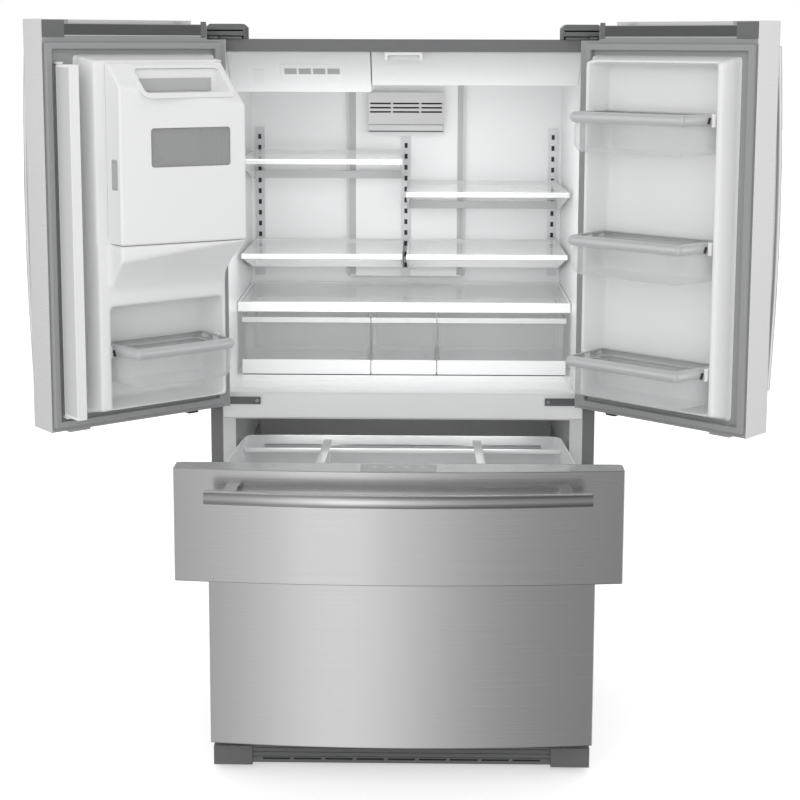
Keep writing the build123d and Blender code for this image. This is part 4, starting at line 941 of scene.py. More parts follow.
@dataclass
class Interior:
    """Fresh-food compartment: linings, tower, shelves and crispers."""

    layout: Layout
    duct_half: float = 148 * MM
    duct_edge_top: float = 1.633
    right_shelf_drop: float = 79 * MM
    ledge_half: float = 0.395
    slider_depth: float = 166.0
    sill_height: float = 36 * MM

    def build(self) -> None:
        """Builds the interior's pieces."""
        Softened("ceiling_housings", "cabinet", FINISH.WHITE, "white_liner", 3.5 * MM, 3).build()
        Softened("air_tower", "cabinet", FINISH.WHITE, "white_liner", 5.0 * MM, 4).build()
        Softened("vent_grille", "cabinet", FINISH.GRILLE, "stainless", 1.4 * MM, 3).build()
        Softened("shelf_ladders", "cabinet", FINISH.LADDER, "galvanised", 0.6 * MM).build()
        Softened("upper_shelves", "cabinet", FINISH.CLEAR_TRIM, "white_trim", 0.9 * MM).build()
        Softened("lower_shelves", "cabinet", FINISH.WHITE_TRIM, "white_trim", 0.9 * MM).build()
        Softened("shelf_glass", "cabinet", FINISH.GLASS, "glass", 0.7 * MM).build()
        Softened("crisper_cover", "cabinet", FINISH.WHITE_TRIM, "white_liner", 1.2 * MM).build()
        self.filter_slots()
        self.ladder_slot_shade()
        self.control_vents()
        self.painted_duct_edge_shade()
        self.shelf_grey_strips()
        self.floor_ledge()
        for name in ("left", "centre", "right"):
            self.crisper(name)

    def filter_slots(self) -> None:
        """Black plate behind the slots of the filter cover, painted shade for the dark depth of the slots,
        and dark and silver strips across the cover's front.
        """
        low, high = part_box("vent_grille")
        # Black plate: painted shade inside the filter slots.
        plate = Bench.block(
            "filter_slot_painted_shade", (low.x + 3 * MM, low.y + 12 * MM, low.z + 3 * MM),
            (high.x - 3 * MM, high.y - 2 * MM, high.z - 3 * MM)
        )
        Bench.rounded(plate, 1.0 * MM)
        settle(plate, "cabinet", FINISH.BLACK_PARTS_AND_PAINTED_SHADE, "black_plastic")
        for label, height, tall, finish in (
            ("line", 19 * MM, 1.4 * MM, FINISH.CHANNEL), ("sill", 1 * MM, 3.0 * MM, FINISH.CHANNEL),
            ("band", 4.6 * MM, 13.8 * MM, FINISH.SILVER),
        ):
            strip = Bench.block(
                f"filter_{label}", (low.x + 1 * MM, low.y - 0.5 * MM, low.z + height),
                (high.x - 1 * MM, low.y + 2 * MM, low.z + height + tall)
            )
            Bench.rounded(strip, 0.4 * MM)
            settle(strip, "cabinet", finish, "stainless")

    def painted_duct_edge_shade(self) -> None:
        """Grey strips down both edges of the air duct: painted shade for the darker rounded edges of the
        tower.
        """
        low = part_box("air_tower")[0]
        half = self.duct_half
        for label, x in (
            ("left", (-half - 2 * MM, -half + 15 * MM)), ("right", (half - 12 * MM, half + 3 * MM))
        ):
            # Grey strip: painted shade where the tower's edge rounds away from the light.
            strip = Bench.block(
                f"duct_edge_{label}", (x[0], low.y - 0.6 * MM, low.z + 6 * MM),
                (x[1], low.y + 8 * MM, self.duct_edge_top),
            )
            Bench.rounded(strip, 0.5 * MM)
            settle(strip, "cabinet", FINISH.SHADE_GREY, "grey_plastic")

    def shelf_grey_strips(self) -> None:
        """Grey strips under the rear of the upper shelves, and the bright lips of their front edges."""
        low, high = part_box("upper_shelves")
        rear = high.y - 12 * MM
        for label, x, z in (
            ("left", (low.x + 4 * MM, -9 * MM), high.z),
            ("right", (9 * MM, high.x - 4 * MM), high.z - self.right_shelf_drop),
        ):
            bar = Bench.block(
                f"shelf_bar_{label}", (x[0], rear - 1.6 * MM, z - 74 * MM),
                (x[1], rear + 0.4 * MM, z - 55 * MM),
            )
            Bench.rounded(bar, 0.7 * MM, 3)
            settle(bar, "cabinet", FINISH.SHADE_GREY, "galvanised")
            lip = Bench.block(
                f"shelf_lip_{label}", (x[0], low.y - 0.4 * MM, z - 3.0 * MM),
                (x[1], low.y + 2.0 * MM, z - 0.2 * MM)
            )
            Bench.rounded(lip, 0.5 * MM, 3)
            settle(lip, "cabinet", FINISH.WHITE_TRIM, "white_trim")

    def floor_ledge(self) -> None:
        """Raised ledges and the slider knob on the floor, and a black strip painted as the shadow in the gap
        under the crispers.
        """
        floor = self.layout.liner_floor
        for index, depth in enumerate(((40, 128), (132, 190))):
            ledge = Bench.block(
                f"floor_ledge_{index + 1}", (-self.ledge_half, self.layout.at(depth[0]), floor - 0.5 * MM),
                (self.ledge_half, self.layout.at(depth[1]), floor + (1.6 + 1.2 * index) * MM),
            )
            Bench.rounded(ledge, 1.1 * MM, 3)
            settle(ledge, "cabinet", FINISH.WHITE, "white_liner")
        slider_y = self.layout.at(self.slider_depth)
        slider_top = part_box("crisper_centre")[0].z - 0.8 * MM
        knob = Bench.rod("floor_slider", (0.0, slider_y, floor), (0.0, slider_y, slider_top), 7 * MM)
        Bench.rounded(knob, 0.8 * MM, 4)
        settle(knob, "cabinet", FINISH.WHITE_TRIM, "white_liner")
        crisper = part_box("crisper_left")[0]
        # Black strip: painted shadow under the crisper sills.
        shadow_strip = Bench.block(
            "crisper_gap_painted_shadow", (-0.398, crisper.y + 2 * MM, floor - 0.4 * MM),
            (0.398, crisper.y + 28 * MM, max(crisper.z - 0.3 * MM, floor + 1.6 * MM))
        )
        Bench.rounded(shadow_strip, 0.3 * MM)
        settle(shadow_strip, "cabinet", FINISH.BLACK_PARTS_AND_PAINTED_SHADE, "black_plastic")

    def ladder_slot_shade(self) -> None:
        """Black strips behind the slots of the three shelf ladders: painted shade for the dark inside the
        slots.
        """
        low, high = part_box("shelf_ladders")
        half_width = 5.5 * MM
        outer = high.x - 12.5 * MM
        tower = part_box("air_tower")[0].y
        tall = high.z - 4 * MM
        for label, x, rear, top in (
            ("left", -outer, high.y, tall), ("centre", 0.0, tower, tall - 21 * MM),
            ("right", outer, high.y, tall),
        ):
            # Black strip: painted shade seen through the ladder's slots.
            back = Bench.block(
                f"ladder_channel_{label}", (x - half_width, rear - 0.9 * MM, low.z + 4 * MM),
                (x + half_width, rear - 0.1 * MM, top)
            )
            Bench.rounded(back, 0.2 * MM)
            settle(back, "cabinet", FINISH.BLACK_PARTS_AND_PAINTED_SHADE, "black_plastic")

    def control_vents(self) -> None:
        """Vent panel and sensor cover on the sloped front of the control housing."""
        low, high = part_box("ceiling_housings")
        slope_top = Vector((0, self.layout.at(52), high.z - 4 * MM))
        slope_low = Vector((0, self.layout.at(148), low.z))
        down = (slope_low - slope_top).normalized()
        out = Vector((0, down.z, -down.y))

        def on_slope(x: float, z: float, lift: float) -> Vector:
            """Point on the slope at a height, lifted off it."""
            share = (slope_top.z - z) / (slope_top.z - slope_low.z)
            point = slope_top.lerp(slope_low, share) + out * lift
            return Vector((x, point.y, point.z))

        def plate(
            name: str, x: Span, z: Span, lift: float, finish: Moulding, slot: str, radius: float
        ) -> None:
            """Thin plate lying on the slope."""
            middle = on_slope(sum(x) / 2, sum(z) / 2, 0.0)
            tall = (z[1] - z[0]) / abs(down.z)
            piece = Bench.block(name, (x[0], -lift, -tall / 2), (x[1], 0.4 * MM, tall / 2))
            turn = Matrix.Rotation(math.atan2(-out.z, -out.y), 4, "X")
            piece.data.transform(Matrix.Translation(Vector((0, middle.y, middle.z))) @ turn)
            Bench.rounded(piece, radius)
            settle(piece, "cabinet", finish, slot)

        plate(
            "control_panel", (-0.290, -0.143), (1.647, 1.690), 1.6 * MM, FINISH.WHITE_TRIM,
            "white_liner", 0.7 * MM,
        )
        for index in range(4):
            left = -0.281 + 0.0338 * index
            plate(
                f"control_vent_{index + 1}", (left, left + 0.0285), (1.668, 1.681), 2.4 * MM,
                FINISH.MID_GREY, "black_plastic", 0.4 * MM,
            )
        plate(
            "sensor_cover", (-0.355, -0.329), (1.644, 1.678), 1.4 * MM, FINISH.WHITE_SATIN,
            "white_liner", 0.6 * MM,
        )

    def crisper(self, name: str) -> None:
        """One clear crisper: moulded tub, clear rim, clear side edges and white front sill."""
        body = f"{name}_crisper"
        node = f"crisper_{name}"
        low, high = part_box(node)
        tub = Bench.open_tub(
            f"{node}_tub", (low.x + 1 * MM, low.y + 7 * MM, low.z + 1 * MM),
            (high.x - 1 * MM, high.y - 1 * MM, high.z - 2 * MM),
            16 * MM, 12 * MM, 2.6 * MM, 3 * MM,
        )
        settle(tub, body, FINISH.CLEAR_DRAWER, "clear_plastic", node)
        sill = Bench.block(
            f"{node}_sill", (low.x, low.y, low.z), (high.x, low.y + 7 * MM, low.z + self.sill_height)
        )
        Bench.rounded(sill, 2.2 * MM, 4)
        settle(sill, body, FINISH.WHITE, "white_liner")
        rim = Bench.block(
            f"{node}_rim", (low.x, low.y + 1 * MM, high.z - 13 * MM), (high.x, low.y + 7 * MM, high.z)
        )
        Bench.rounded(rim, 1.8 * MM, 4)
        settle(rim, body, FINISH.CLEAR_RIM, "clear_plastic")
        for side, x in (("left", low.x), ("right", high.x - 4 * MM)):
            edge = Bench.block(
                f"{node}_edge_{side}", (x, low.y + 2 * MM, high.z - 6 * MM),
                (x + 4 * MM, high.y - 4 * MM, high.z - 2 * MM),
            )
            Bench.rounded(edge, 1.2 * MM, 3)
            settle(edge, body, FINISH.CLEAR_DRAWER, "clear_plastic")


@dataclass
class DoorPlace:
    """Where a shut door's points are when it stands open."""

    side: int
    layout: Layout
    hinge: Vector
    turn: float

    @classmethod
    def read(cls, side: int, layout: Layout) -> "DoorPlace":
        """Reads a door's hinge and its angle from the frame's joints."""
        name = "left_door_hinge" if side < 0 else "right_door_hinge"
        joint = next(item for item in FRAME["joints"] if item["name"] == name)
        low_limit = math.radians(joint["range_deg"][0])
        return cls(side, layout, Vector(joint["pos_m"]), -low_limit * joint["axis"][2])

    def matrix(self) -> Matrix:
        """Turn from the shut place to the open one."""
        pin = Vector((self.hinge.x, self.hinge.y, 0.0))
        return Matrix.Translation(pin) @ Matrix.Rotation(self.turn, 4, "Z") @ Matrix.Translation(-pin)

    def x(self, u: float) -> float:
        """X of a point u millimetres from the cabinet's side."""
        return self.side * (self.layout.half - u * MM)

    def span(self, low: float, high: float) -> Span:
        """Sorted X pair of two distances u in millimetres."""
        first, second = self.x(low), self.x(high)
        return (min(first, second), max(first, second))

    def z(self, share: float) -> float:
        """Height at a share of the door's height."""
        return self.layout.door_low + share * (self.layout.door_high - self.layout.door_low)

    def block(self, name: str, u: Span, depth: Span, z: Span) -> bpy.types.Object:
        """Box in the shut door's place.

        Args:
            name: piece name.
            u: distances from the cabinet's side, in millimetres.
            depth: depths behind the front plane, in millimetres.
            z: heights in metres.

        Returns:
            The piece, still in the shut place.
        """
        x = self.span(*u)
        return Bench.block(
            name, (x[0], self.layout.at(depth[0]), z[0]), (x[1], self.layout.at(depth[1]), z[1])
        )

    def open_up(self, piece: bpy.types.Object) -> bpy.types.Object:
        """Turns a piece from the shut place to the open one."""
        piece.data.transform(self.matrix())
        piece.data.update()
        return piece

    def shut(self, piece: bpy.types.Object) -> bpy.types.Object:
        """Turns a piece from the open place to the shut one."""
        piece.data.transform(self.matrix().inverted())
        piece.data.update()
        return piece


@dataclass
class Door:
    """What both doors share: skin, frame, gasket, handle and bins."""

    layout: Layout
    side: int
    bin_height: float = 89 * MM
    rim_height: float = 24 * MM
    cap_span: tuple[float, float] = (64.0, 398.0)

    def __post_init__(self) -> None:
        """Works out the door's name and place."""
        self.label = "left" if self.side < 0 else "right"
        self.body = f"{self.label}_door"
        self.place = DoorPlace.read(self.side, self.layout)

    def build_shared(self) -> None:
        """Builds the skin, frame, gasket and handle."""
        Shelled(f"{self.label}_door_skin", self.body, FINISH.STEEL, "stainless", 3.0 * MM, 1.1 * MM).build()
        Softened(f"{self.label}_door_frame", self.body, FINISH.BAND_GREY, "grey_plastic", 1.0 * MM).build()
        self.cap_channel()
        Softened(f"{self.label}_door_gasket", self.body, FINISH.SEAL, "gasket", 2.6 * MM, 3).build()
        Softened(
            f"{self.label}_door_handle", self.body, FINISH.STEEL_UPRIGHT, "stainless", 2.4 * MM, 3
        ).build()
        self.moulded_liner()
        self.stops()

    def moulded_liner(self) -> None:
        """Door liner with the soft edges of a vacuum-formed sheet."""
        node = f"{self.label}_door_liner"
        piece = Bench.copy_of(node, node + "_moulded", flat=False)
        self.place.shut(piece)
        Bench.modify(piece, "REMESH", mode="VOXEL", voxel_size=4.4 * MM, adaptivity=0.0)
        Bench.modify(piece, "SMOOTH", factor=0.5, iterations=9)
        Bench.only(piece)
        bpy.ops.object.shade_smooth()
        self.place.open_up(piece)
        settle(piece, self.body, FINISH.WHITE, "white_liner", node)

    def cap_channel(self) -> None:
        """Dark channel along the top cap and the pale joint line under it."""
        top = self.layout.door_high
        channel = self.place.block(
            f"{self.label}_cap_channel", self.cap_span, (-14.2, -13.4), (top - 33 * MM, top - 10.5 * MM)
        )
        Bench.rounded(channel, 0.3 * MM)
        settle(self.place.open_up(channel), self.body, FINISH.CHANNEL, "grey_plastic")
        for part, u in (("free", (398, 449)), ("hinge", (50, 64))):
            block = self.place.block(
                f"{self.label}_cap_{part}", u, (-14.2, -12.8), (top - 38 * MM, top - 3 * MM)
            )
            Bench.rounded(block, 0.6 * MM, 3)
            settle(self.place.open_up(block), self.body, FINISH.CAP, "grey_plastic")
        line = self.place.block(
            f"{self.label}_cap_line", self.cap_span, (-14.2, -12.8), (top - 35.5 * MM, top - 33.5 * MM)
        )
        Bench.rounded(line, 0.6 * MM, 3)
        settle(self.place.open_up(line), self.body, FINISH.SILVER, "grey_plastic")

    def stops(self) -> None:
        """Black door stop and grey foot under the door."""
        low = self.layout.door_low
        stop = self.place.block(
            f"{self.label}_door_stop", (75, 102), (-52, -28), (low - 7.5 * MM, low + 2 * MM)
        )
        Bench.rounded(stop, 2.4 * MM, 4)
        settle(self.place.open_up(stop), self.body, FINISH.BLACK_PARTS_AND_PAINTED_SHADE, "black_plastic")
        foot = self.place.block(
            f"{self.label}_door_foot", (354, 406), (-46, -22), (low - 6 * MM, low + 2 * MM)
        )
        Bench.rounded(foot, 2.4 * MM, 4)
        settle(self.place.open_up(foot), self.body, FINISH.MID_GREY, "grey_plastic")

    def bin(self, name: str, node: str, share: float, u: Span) -> None:
        """Clear door bin with a silver rim band and end clips.

        Args:
            name: piece name.
            node: the CAD node that it stands for.
            share: height of its floor as a share of the door's height.
            u: its span at the recess, in millimetres.
        """
        floor = self.place.z(share)
        tall = self.bin_height
        tub = self.shell_of_bin(
            f"{name}_tub", (u[0] + 3, u[1] - 3), (floor, floor + tall - 12 * MM), 117.0, 24.0, 9.0
        )
        self.place.open_up(tub)
        settle(tub, self.body, FINISH.CLEAR_BIN, "clear_plastic", node)
        rim = self.shell_of_bin(
            f"{name}_rim", u, (floor + tall - self.rim_height, floor + tall), 120.0, 26.0, 0.0
        )
        self.place.open_up(rim)
        settle(rim, self.body, FINISH.SILVER, "clear_plastic")
        for end, low, high in (("hinge", u[0] - 0.5, u[0] + 6), ("free", u[1] - 6, u[1] + 0.5)):
            clip = self.place.block(
                f"{name}_clip_{end}", (low, high), (22, 44),
                (floor + tall - 27 * MM, floor + tall + 1 * MM),
            )
            Bench.rounded(clip, 2.0 * MM, 3)
            settle(self.place.open_up(clip), self.body, FINISH.WHITE_TRIM, "white_trim")
            self.clip_slot(
                f"{name}_slot_{end}", (u[0] - 0.6 if end == "hinge" else u[1] - 4.6),
                floor + tall - 13 * MM,
            )

    def clip_slot(self, name: str, u: float, z: float) -> None:
        """Slanted black block in a bin's end wall, painted shade standing in for the dark of its slot."""
        # Solid black block: painted shade where the slot looks dark.
        slot = self.place.block(name, (u, u + 5.2), (56, 60), (z - 7 * MM, z + 7 * MM))
        centre = Vector((self.place.x(u + 2.6), self.layout.at(58), z))
        lean = Matrix.Rotation(math.radians(24.0), 4, "X")
        slot.data.transform(Matrix.Translation(centre) @ lean @ Matrix.Translation(-centre))
        Bench.rounded(slot, 1.2 * MM, 3)
        settle(self.place.open_up(slot), self.body, FINISH.BLACK_PARTS_AND_PAINTED_SHADE, "black_plastic")

    def shell_of_bin(
        self, name: str, u: Span, z: Span, tip: float, corner: float, foot: float
    ) -> bpy.types.Object:
        """Walls of a bin that narrows towards its front.

        Args:
            name: piece name.
            u: span at the recess, in millimetres.
            z: heights in metres.
            tip: depth of its front, in millimetres.
            corner: radius of its upright corners, in millimetres.
            foot: radius around its floor, or 0 for a band with no floor.

        Returns:
            The piece in the shut place.
        """
        back = -30.0
        piece = self.place.block(name, u, (back, tip), z)
        front_y = self.layout.at(tip) - 1e-5
        Bench.edit(piece, "VERT")
        Bench.done()
        hinge_x = self.place.x(u[0])
        for vertex in piece.data.vertices:
            if vertex.co.y > front_y:
                near = abs(vertex.co.x - hinge_x) < 1e-4
                vertex.co.x -= self.side * (4.0 if near else -26.0) * MM
        for edge in piece.data.edges:
            ends = [piece.data.vertices[index].co for index in edge.vertices]
            edge.select = abs(ends[0].z - ends[1].z) > 0.5 * (z[1] - z[0])
        Bench.only(piece)
        bpy.ops.object.mode_set(mode="EDIT")
        bpy.ops.mesh.select_mode(type="EDGE")
        bpy.ops.mesh.bevel(offset=corner * MM, segments=7, affect="EDGES", clamp_overlap=True)
        Bench.done()
        top = z[1] - 1e-5
        low = z[0] + 1e-5
        Bench.drop_faces(piece, lambda face: face.center.z > top or (not foot and face.center.z < low))
        if foot:
            Bench.modify(
                piece, "BEVEL", width=foot * MM, segments=4, limit_method="ANGLE",
                angle_limit=math.radians(60.0),
                use_clamp_overlap=True,
            )
        Bench.modify(piece, "SOLIDIFY", thickness=2.4 * MM, offset=-1.0)
        Bench.modify(
            piece, "BEVEL", width=0.6 * MM, segments=2, limit_method="ANGLE",
            angle_limit=math.radians(70.0),
        )
        return Bench.smooth(piece, 40.0)


@dataclass
class RightDoor(Door):
    """Right door with its three bins."""

    side: int = 1
    shares: tuple[float, float, float] = (0.680, 0.3747, 0.0700)

    def build(self) -> None:
        """Builds the door's pieces."""
        self.build_shared()
        for name, share in zip(("top", "middle", "bottom"), self.shares):
            self.bin(f"right_bin_{name}", f"right_door_bin_{name}", share, (60.0, 384.0))


@dataclass
class LeftDoor(Door):
    """Left door with the ice room, the dispenser, one bin and the flipper."""

    side: int = -1
    ice_side: float = 340.0

    def build(self) -> None:
        """Builds the door's pieces."""
        self.build_shared()
        self.bin("left_bin", "left_door_bin", 0.11, (60.0, 337.0))
        self.ice_room()
        self.flipper()
        self.dispenser()

    def ice_room(self) -> None:
        """Ice room: tray, bin, cover with its window and air port, latch and wire lever."""
        Softened("ice_box", "left_door", FINISH.WHITE, "white_liner", 3.0 * MM, 3).build()
        Softened("ice_bin", "left_door", FINISH.CLEAR_DRAWER, "clear_plastic", 1.2 * MM).build()
        facet, top = self.place.z(0.789), self.place.z(0.897)
        port = self.place.block("port_cutter", (75, 285), (69, 200), (facet + 33 * MM, facet + 83 * MM))
        Bench.round_upright(port, 1, 9 * MM)
        self.ice_cover(facet, top, port)
        self.port_frame(facet, top, port)
        bpy.data.objects.remove(port)
        pane = self.slanted("ice_window", (88, 276), (facet - 128 * MM, facet - 37 * MM), -6.6, -4.6)
        settle(pane, "ice_cover", FINISH.SMOKED, "glass")
        latch = self.place.block("ice_latch", (336, 341.2), (74, 99), (1.430, 1.495))
        Bench.rounded(latch, 2.2 * MM, 4)
        settle(self.place.open_up(latch), "ice_cover", FINISH.MID_GREY, "grey_plastic")
        grip = self.place.block("ice_latch_grip", (339, 341.8), (79, 94), (1.437, 1.486))
        Bench.rounded(grip, 1.2 * MM, 3)
        settle(self.place.open_up(grip), "ice_cover", FINISH.SHADE_GREY, "grey_plastic")
        route = (
            (268, 98, -38), (246, 99, -70), (226, 99, -100), (222, 99, -112), (226, 98, -122),
            (252, 97, -124),
        )
        lever = Bench.tube_along(
            "ice_lever",
            [(self.place.x(u), self.layout.at(depth), facet + drop * MM) for u, depth, drop in route],
            2.6 * MM
        )
        settle(self.place.open_up(lever), "left_door", FINISH.PLAIN_STEEL, "galvanised")

    def slope_normal(self, facet: float, top: float) -> tuple[Vector, Vector]:
        """Point on the sloped head and its outward normal."""
        point = Vector((0.0, self.layout.at(59), top))
        return point, Vector((0.0, top - facet - 4 * MM, 98 * MM)).normalized()

    def ice_cover(self, facet: float, top: float, port: bpy.types.Object) -> None:
        """One-piece cover: slanted front, sloped head, window and air port.

        Args:
            facet: height of the front's upper edge.
            top: height of the cover's top.
            port: the air port's cutter.
        """
        low = self.place.z(0.463) + 1 * MM
        piece = self.place.block("ice_cover_body", (56, self.ice_side), (53, 157), (low, top))
        free = Vector((self.place.x(self.ice_side), self.layout.at(112), 0.0))
        hinge = Vector((self.place.x(56), self.layout.at(156), 0.0))
        along = hinge - free
        Bench.trim(piece, free, (along.y, -along.x, 0.0))
        point, normal = self.slope_normal(facet, top)
        Bench.trim(piece, point, normal)
        back = self.layout.at(53) + 1e-5
        Bench.drop_faces(piece, lambda face: face.center.y < back)
        Bench.modify(
            piece, "BEVEL", width=10 * MM, segments=6, limit_method="ANGLE", angle_limit=math.radians(30.0),
            use_clamp_overlap=True,
        )
        Bench.modify(piece, "SOLIDIFY", thickness=3.4 * MM, offset=-1.0)
        window = self.place.block(
            "window_cutter", (92, 272), (80, 200), (facet - 124 * MM, facet - 41 * MM)
        )
        Bench.round_upright(window, 1, 7 * MM)
        Bench.cut(piece, window)
        Bench.cut(piece, port)
        bpy.data.objects.remove(window)
        Bench.modify(
            piece, "BEVEL", width=0.8 * MM, segments=2, limit_method="ANGLE",
            angle_limit=math.radians(50.0),
            use_clamp_overlap=True,
        )
        Bench.smooth(piece)
        settle(self.place.open_up(piece), "ice_cover", FINISH.WHITE, "white_liner", "ice_room_door")

    def port_frame(self, facet: float, top: float, port: bpy.types.Object) -> None:
        """Raised lip around the air port, its funnel and the grey chute inside.

        Args:
            facet: height of the front's upper edge.
            top: height of the cover's top.
            port: the air port's cutter.
        """
        point, normal = self.slope_normal(facet, top)
        lip = self.place.block("port_lip", (64, 296), (55, 150), (facet + 22 * MM, facet + 91 * MM))
        Bench.round_upright(lip, 1, 18 * MM, 8)
        Bench.trim(lip, point + normal * 2.6 * MM, normal)
        Bench.trim(lip, point - normal * 1.0 * MM, -normal)
        Bench.cut(lip, port)
        Bench.rounded(lip, 1.6 * MM, 4, 40.0)
        settle(self.place.open_up(lip), "ice_cover", FINISH.WHITE_TRIM, "white_liner")
        funnel = self.place.block(
            "port_funnel", (74.5, 285.5), (69, 150), (facet + 32.5 * MM, facet + 83.5 * MM)
        )
        Bench.round_upright(funnel, 1, 9.5 * MM)
        Bench.trim(funnel, point, normal)
        Bench.drop_faces(funnel, lambda face: face.normal.dot(normal) > 0.98)
        Bench.modify(funnel, "SOLIDIFY", thickness=1.6 * MM, offset=1.0)
        Bench.smooth(funnel)
        settle(self.place.open_up(funnel), "ice_cover", FINISH.WHITE, "white_liner")
        chute = self.place.block("port_chute", (92, 268), (69.4, 73), (facet + 35 * MM, facet + 62 * MM))
        Bench.rounded(chute, 1.0 * MM, 3)
        settle(self.place.open_up(chute), "ice_cover", FINISH.SHADE_GREY, "grey_plastic")

    def slant(self, u: float) -> float:
        """Depth of the ice room's slanted front at u, in millimetres."""
        share = (self.ice_side - u) / (self.ice_side - 56.0)
        return 112.0 + 44.0 * share

    def slanted(self, name: str, u: Span, z: Span, back: float, front: float) -> bpy.types.Object:
        """Plate along the ice room's slanted front, in the open place.

        Args:
            name: piece name.
            u: span in millimetres.
            z: heights in metres.
            back: its back face against the slanted front, in millimetres.
            front: its front face against the slanted front, in millimetres.

        Returns:
            The finished shape.
        """
        piece = self.place.block(name, u, (0, 10), z)
        middle = self.layout.at(5)
        for vertex in piece.data.vertices:
            at = self.layout.half - abs(vertex.co.x)
            lift = front if vertex.co.y > middle else back
            vertex.co.y = self.layout.at(self.slant(at / MM) + lift)
        Bench.rounded(piece, 0.8 * MM, 2)
        return self.place.open_up(piece)

    def flipper(self) -> None:
        """Flipper mullion: white body with a grey metal face."""
        Softened("flipper_mullion", "flipper", FINISH.WHITE, "flipper_grey", 2.0 * MM, 3).build()
        low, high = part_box("flipper_mullion")
        outer = self.place.x(421) + 6 * MM
        face = Bench.block(
            "flipper_face", (outer - 0.3 * MM, self.layout.at(5), low.z + 6 * MM),
            (outer + 0.5 * MM, self.layout.at(59), high.z - 6 * MM)
        )
        Bench.rounded(face, 0.3 * MM)
        settle(self.place.open_up(face), "flipper", FINISH.FLIPPER_GREY, "flipper_grey")

    def dispenser(self) -> None:
        """Outer dispenser: recess, paddle, control glass, nozzle and drip grille."""
        Softened("dispenser_recess", "left_door", FINISH.BLACK_PARTS_AND_PAINTED_SHADE, "black_plastic", 1.6 * MM, 3).build()
        Softened("dispenser_paddle", "paddle", FINISH.MID_GREY, "black_plastic", 1.0 * MM).build()
        face = -0.5 * (DOOR_EDGE + DOOR_CROWN) - 33.0
        low, high = self.place.z(0.33), self.place.z(0.70)
        split = high - 0.36 * (high - low)
        glass = self.crowned_plate("control_glass", (156, 324), (split + 6 * MM, high - 6 * MM), 1.4)
        settle(glass, "left_door", FINISH.BLACK_GLOSS, "black_plastic")
        for index in range(5):
            key_u = 178 + 31 * index
            key = self.crowned_plate(
                f"control_key_{index + 1}", (key_u - 8, key_u + 8),
                (split + 22 * MM, split + 38 * MM), 1.9,
            )
            settle(key, "left_door", FINISH.MID_GREY, "grey_plastic")
        nozzle = Bench.rod(
            "water_nozzle", (self.place.x(240), self.layout.at(face + 34), split + 2 * MM),
            (self.place.x(240), self.layout.at(face + 34), split - 16 * MM), 9 * MM,
        )
        Bench.rounded(nozzle, 2.0 * MM, 3)
        settle(self.place.open_up(nozzle), "left_door", FINISH.MID_GREY, "grey_plastic")
        slats = []
        for index in range(12):
            slat_u = 166 + 13 * index
            slats.append(
                self.place.block(
                    f"drip_slat_{index}", (slat_u, slat_u + 6), (-92, -42), (low + 13 * MM, low + 17 * MM)
                )
            )
        grille = Bench.joined("drip_grille", slats)
        Bench.rounded(grille, 1.0 * MM, 2)
        settle(self.place.open_up(grille), "left_door", FINISH.PLAIN_STEEL, "galvanised")

    def crowned_plate(self, name: str, u: Span, z: Span, lift: float) -> bpy.types.Object:
        """Thin plate that follows the door's bowed front.

        Args:
            name: piece name.
            u: span in millimetres.
            z: heights in metres.
            lift: how far it stands proud, in millimetres.

        Returns:
            The finished shape in the open place.
        """
        piece = self.place.block(name, u, (-2, 0), z)
        Bench.edit(piece)
        bpy.ops.mesh.select_all(action="SELECT")
        bpy.ops.mesh.subdivide(number_cuts=7)
        Bench.done()
        half = self.layout.half + FRONT_OVERHANG * MM
        crown = DOOR_CROWN * MM
        radius = (half ** 2 + crown ** 2) / (2 * crown)
        for vertex in piece.data.vertices:
            bow = math.sqrt(radius ** 2 - vertex.co.x ** 2) - (radius - crown)
            vertex.co.y -= DOOR_EDGE * MM + bow + (lift - 2) * MM
        Bench.rounded(piece, 0.7 * MM, 2)
        return self.place.open_up(piece)


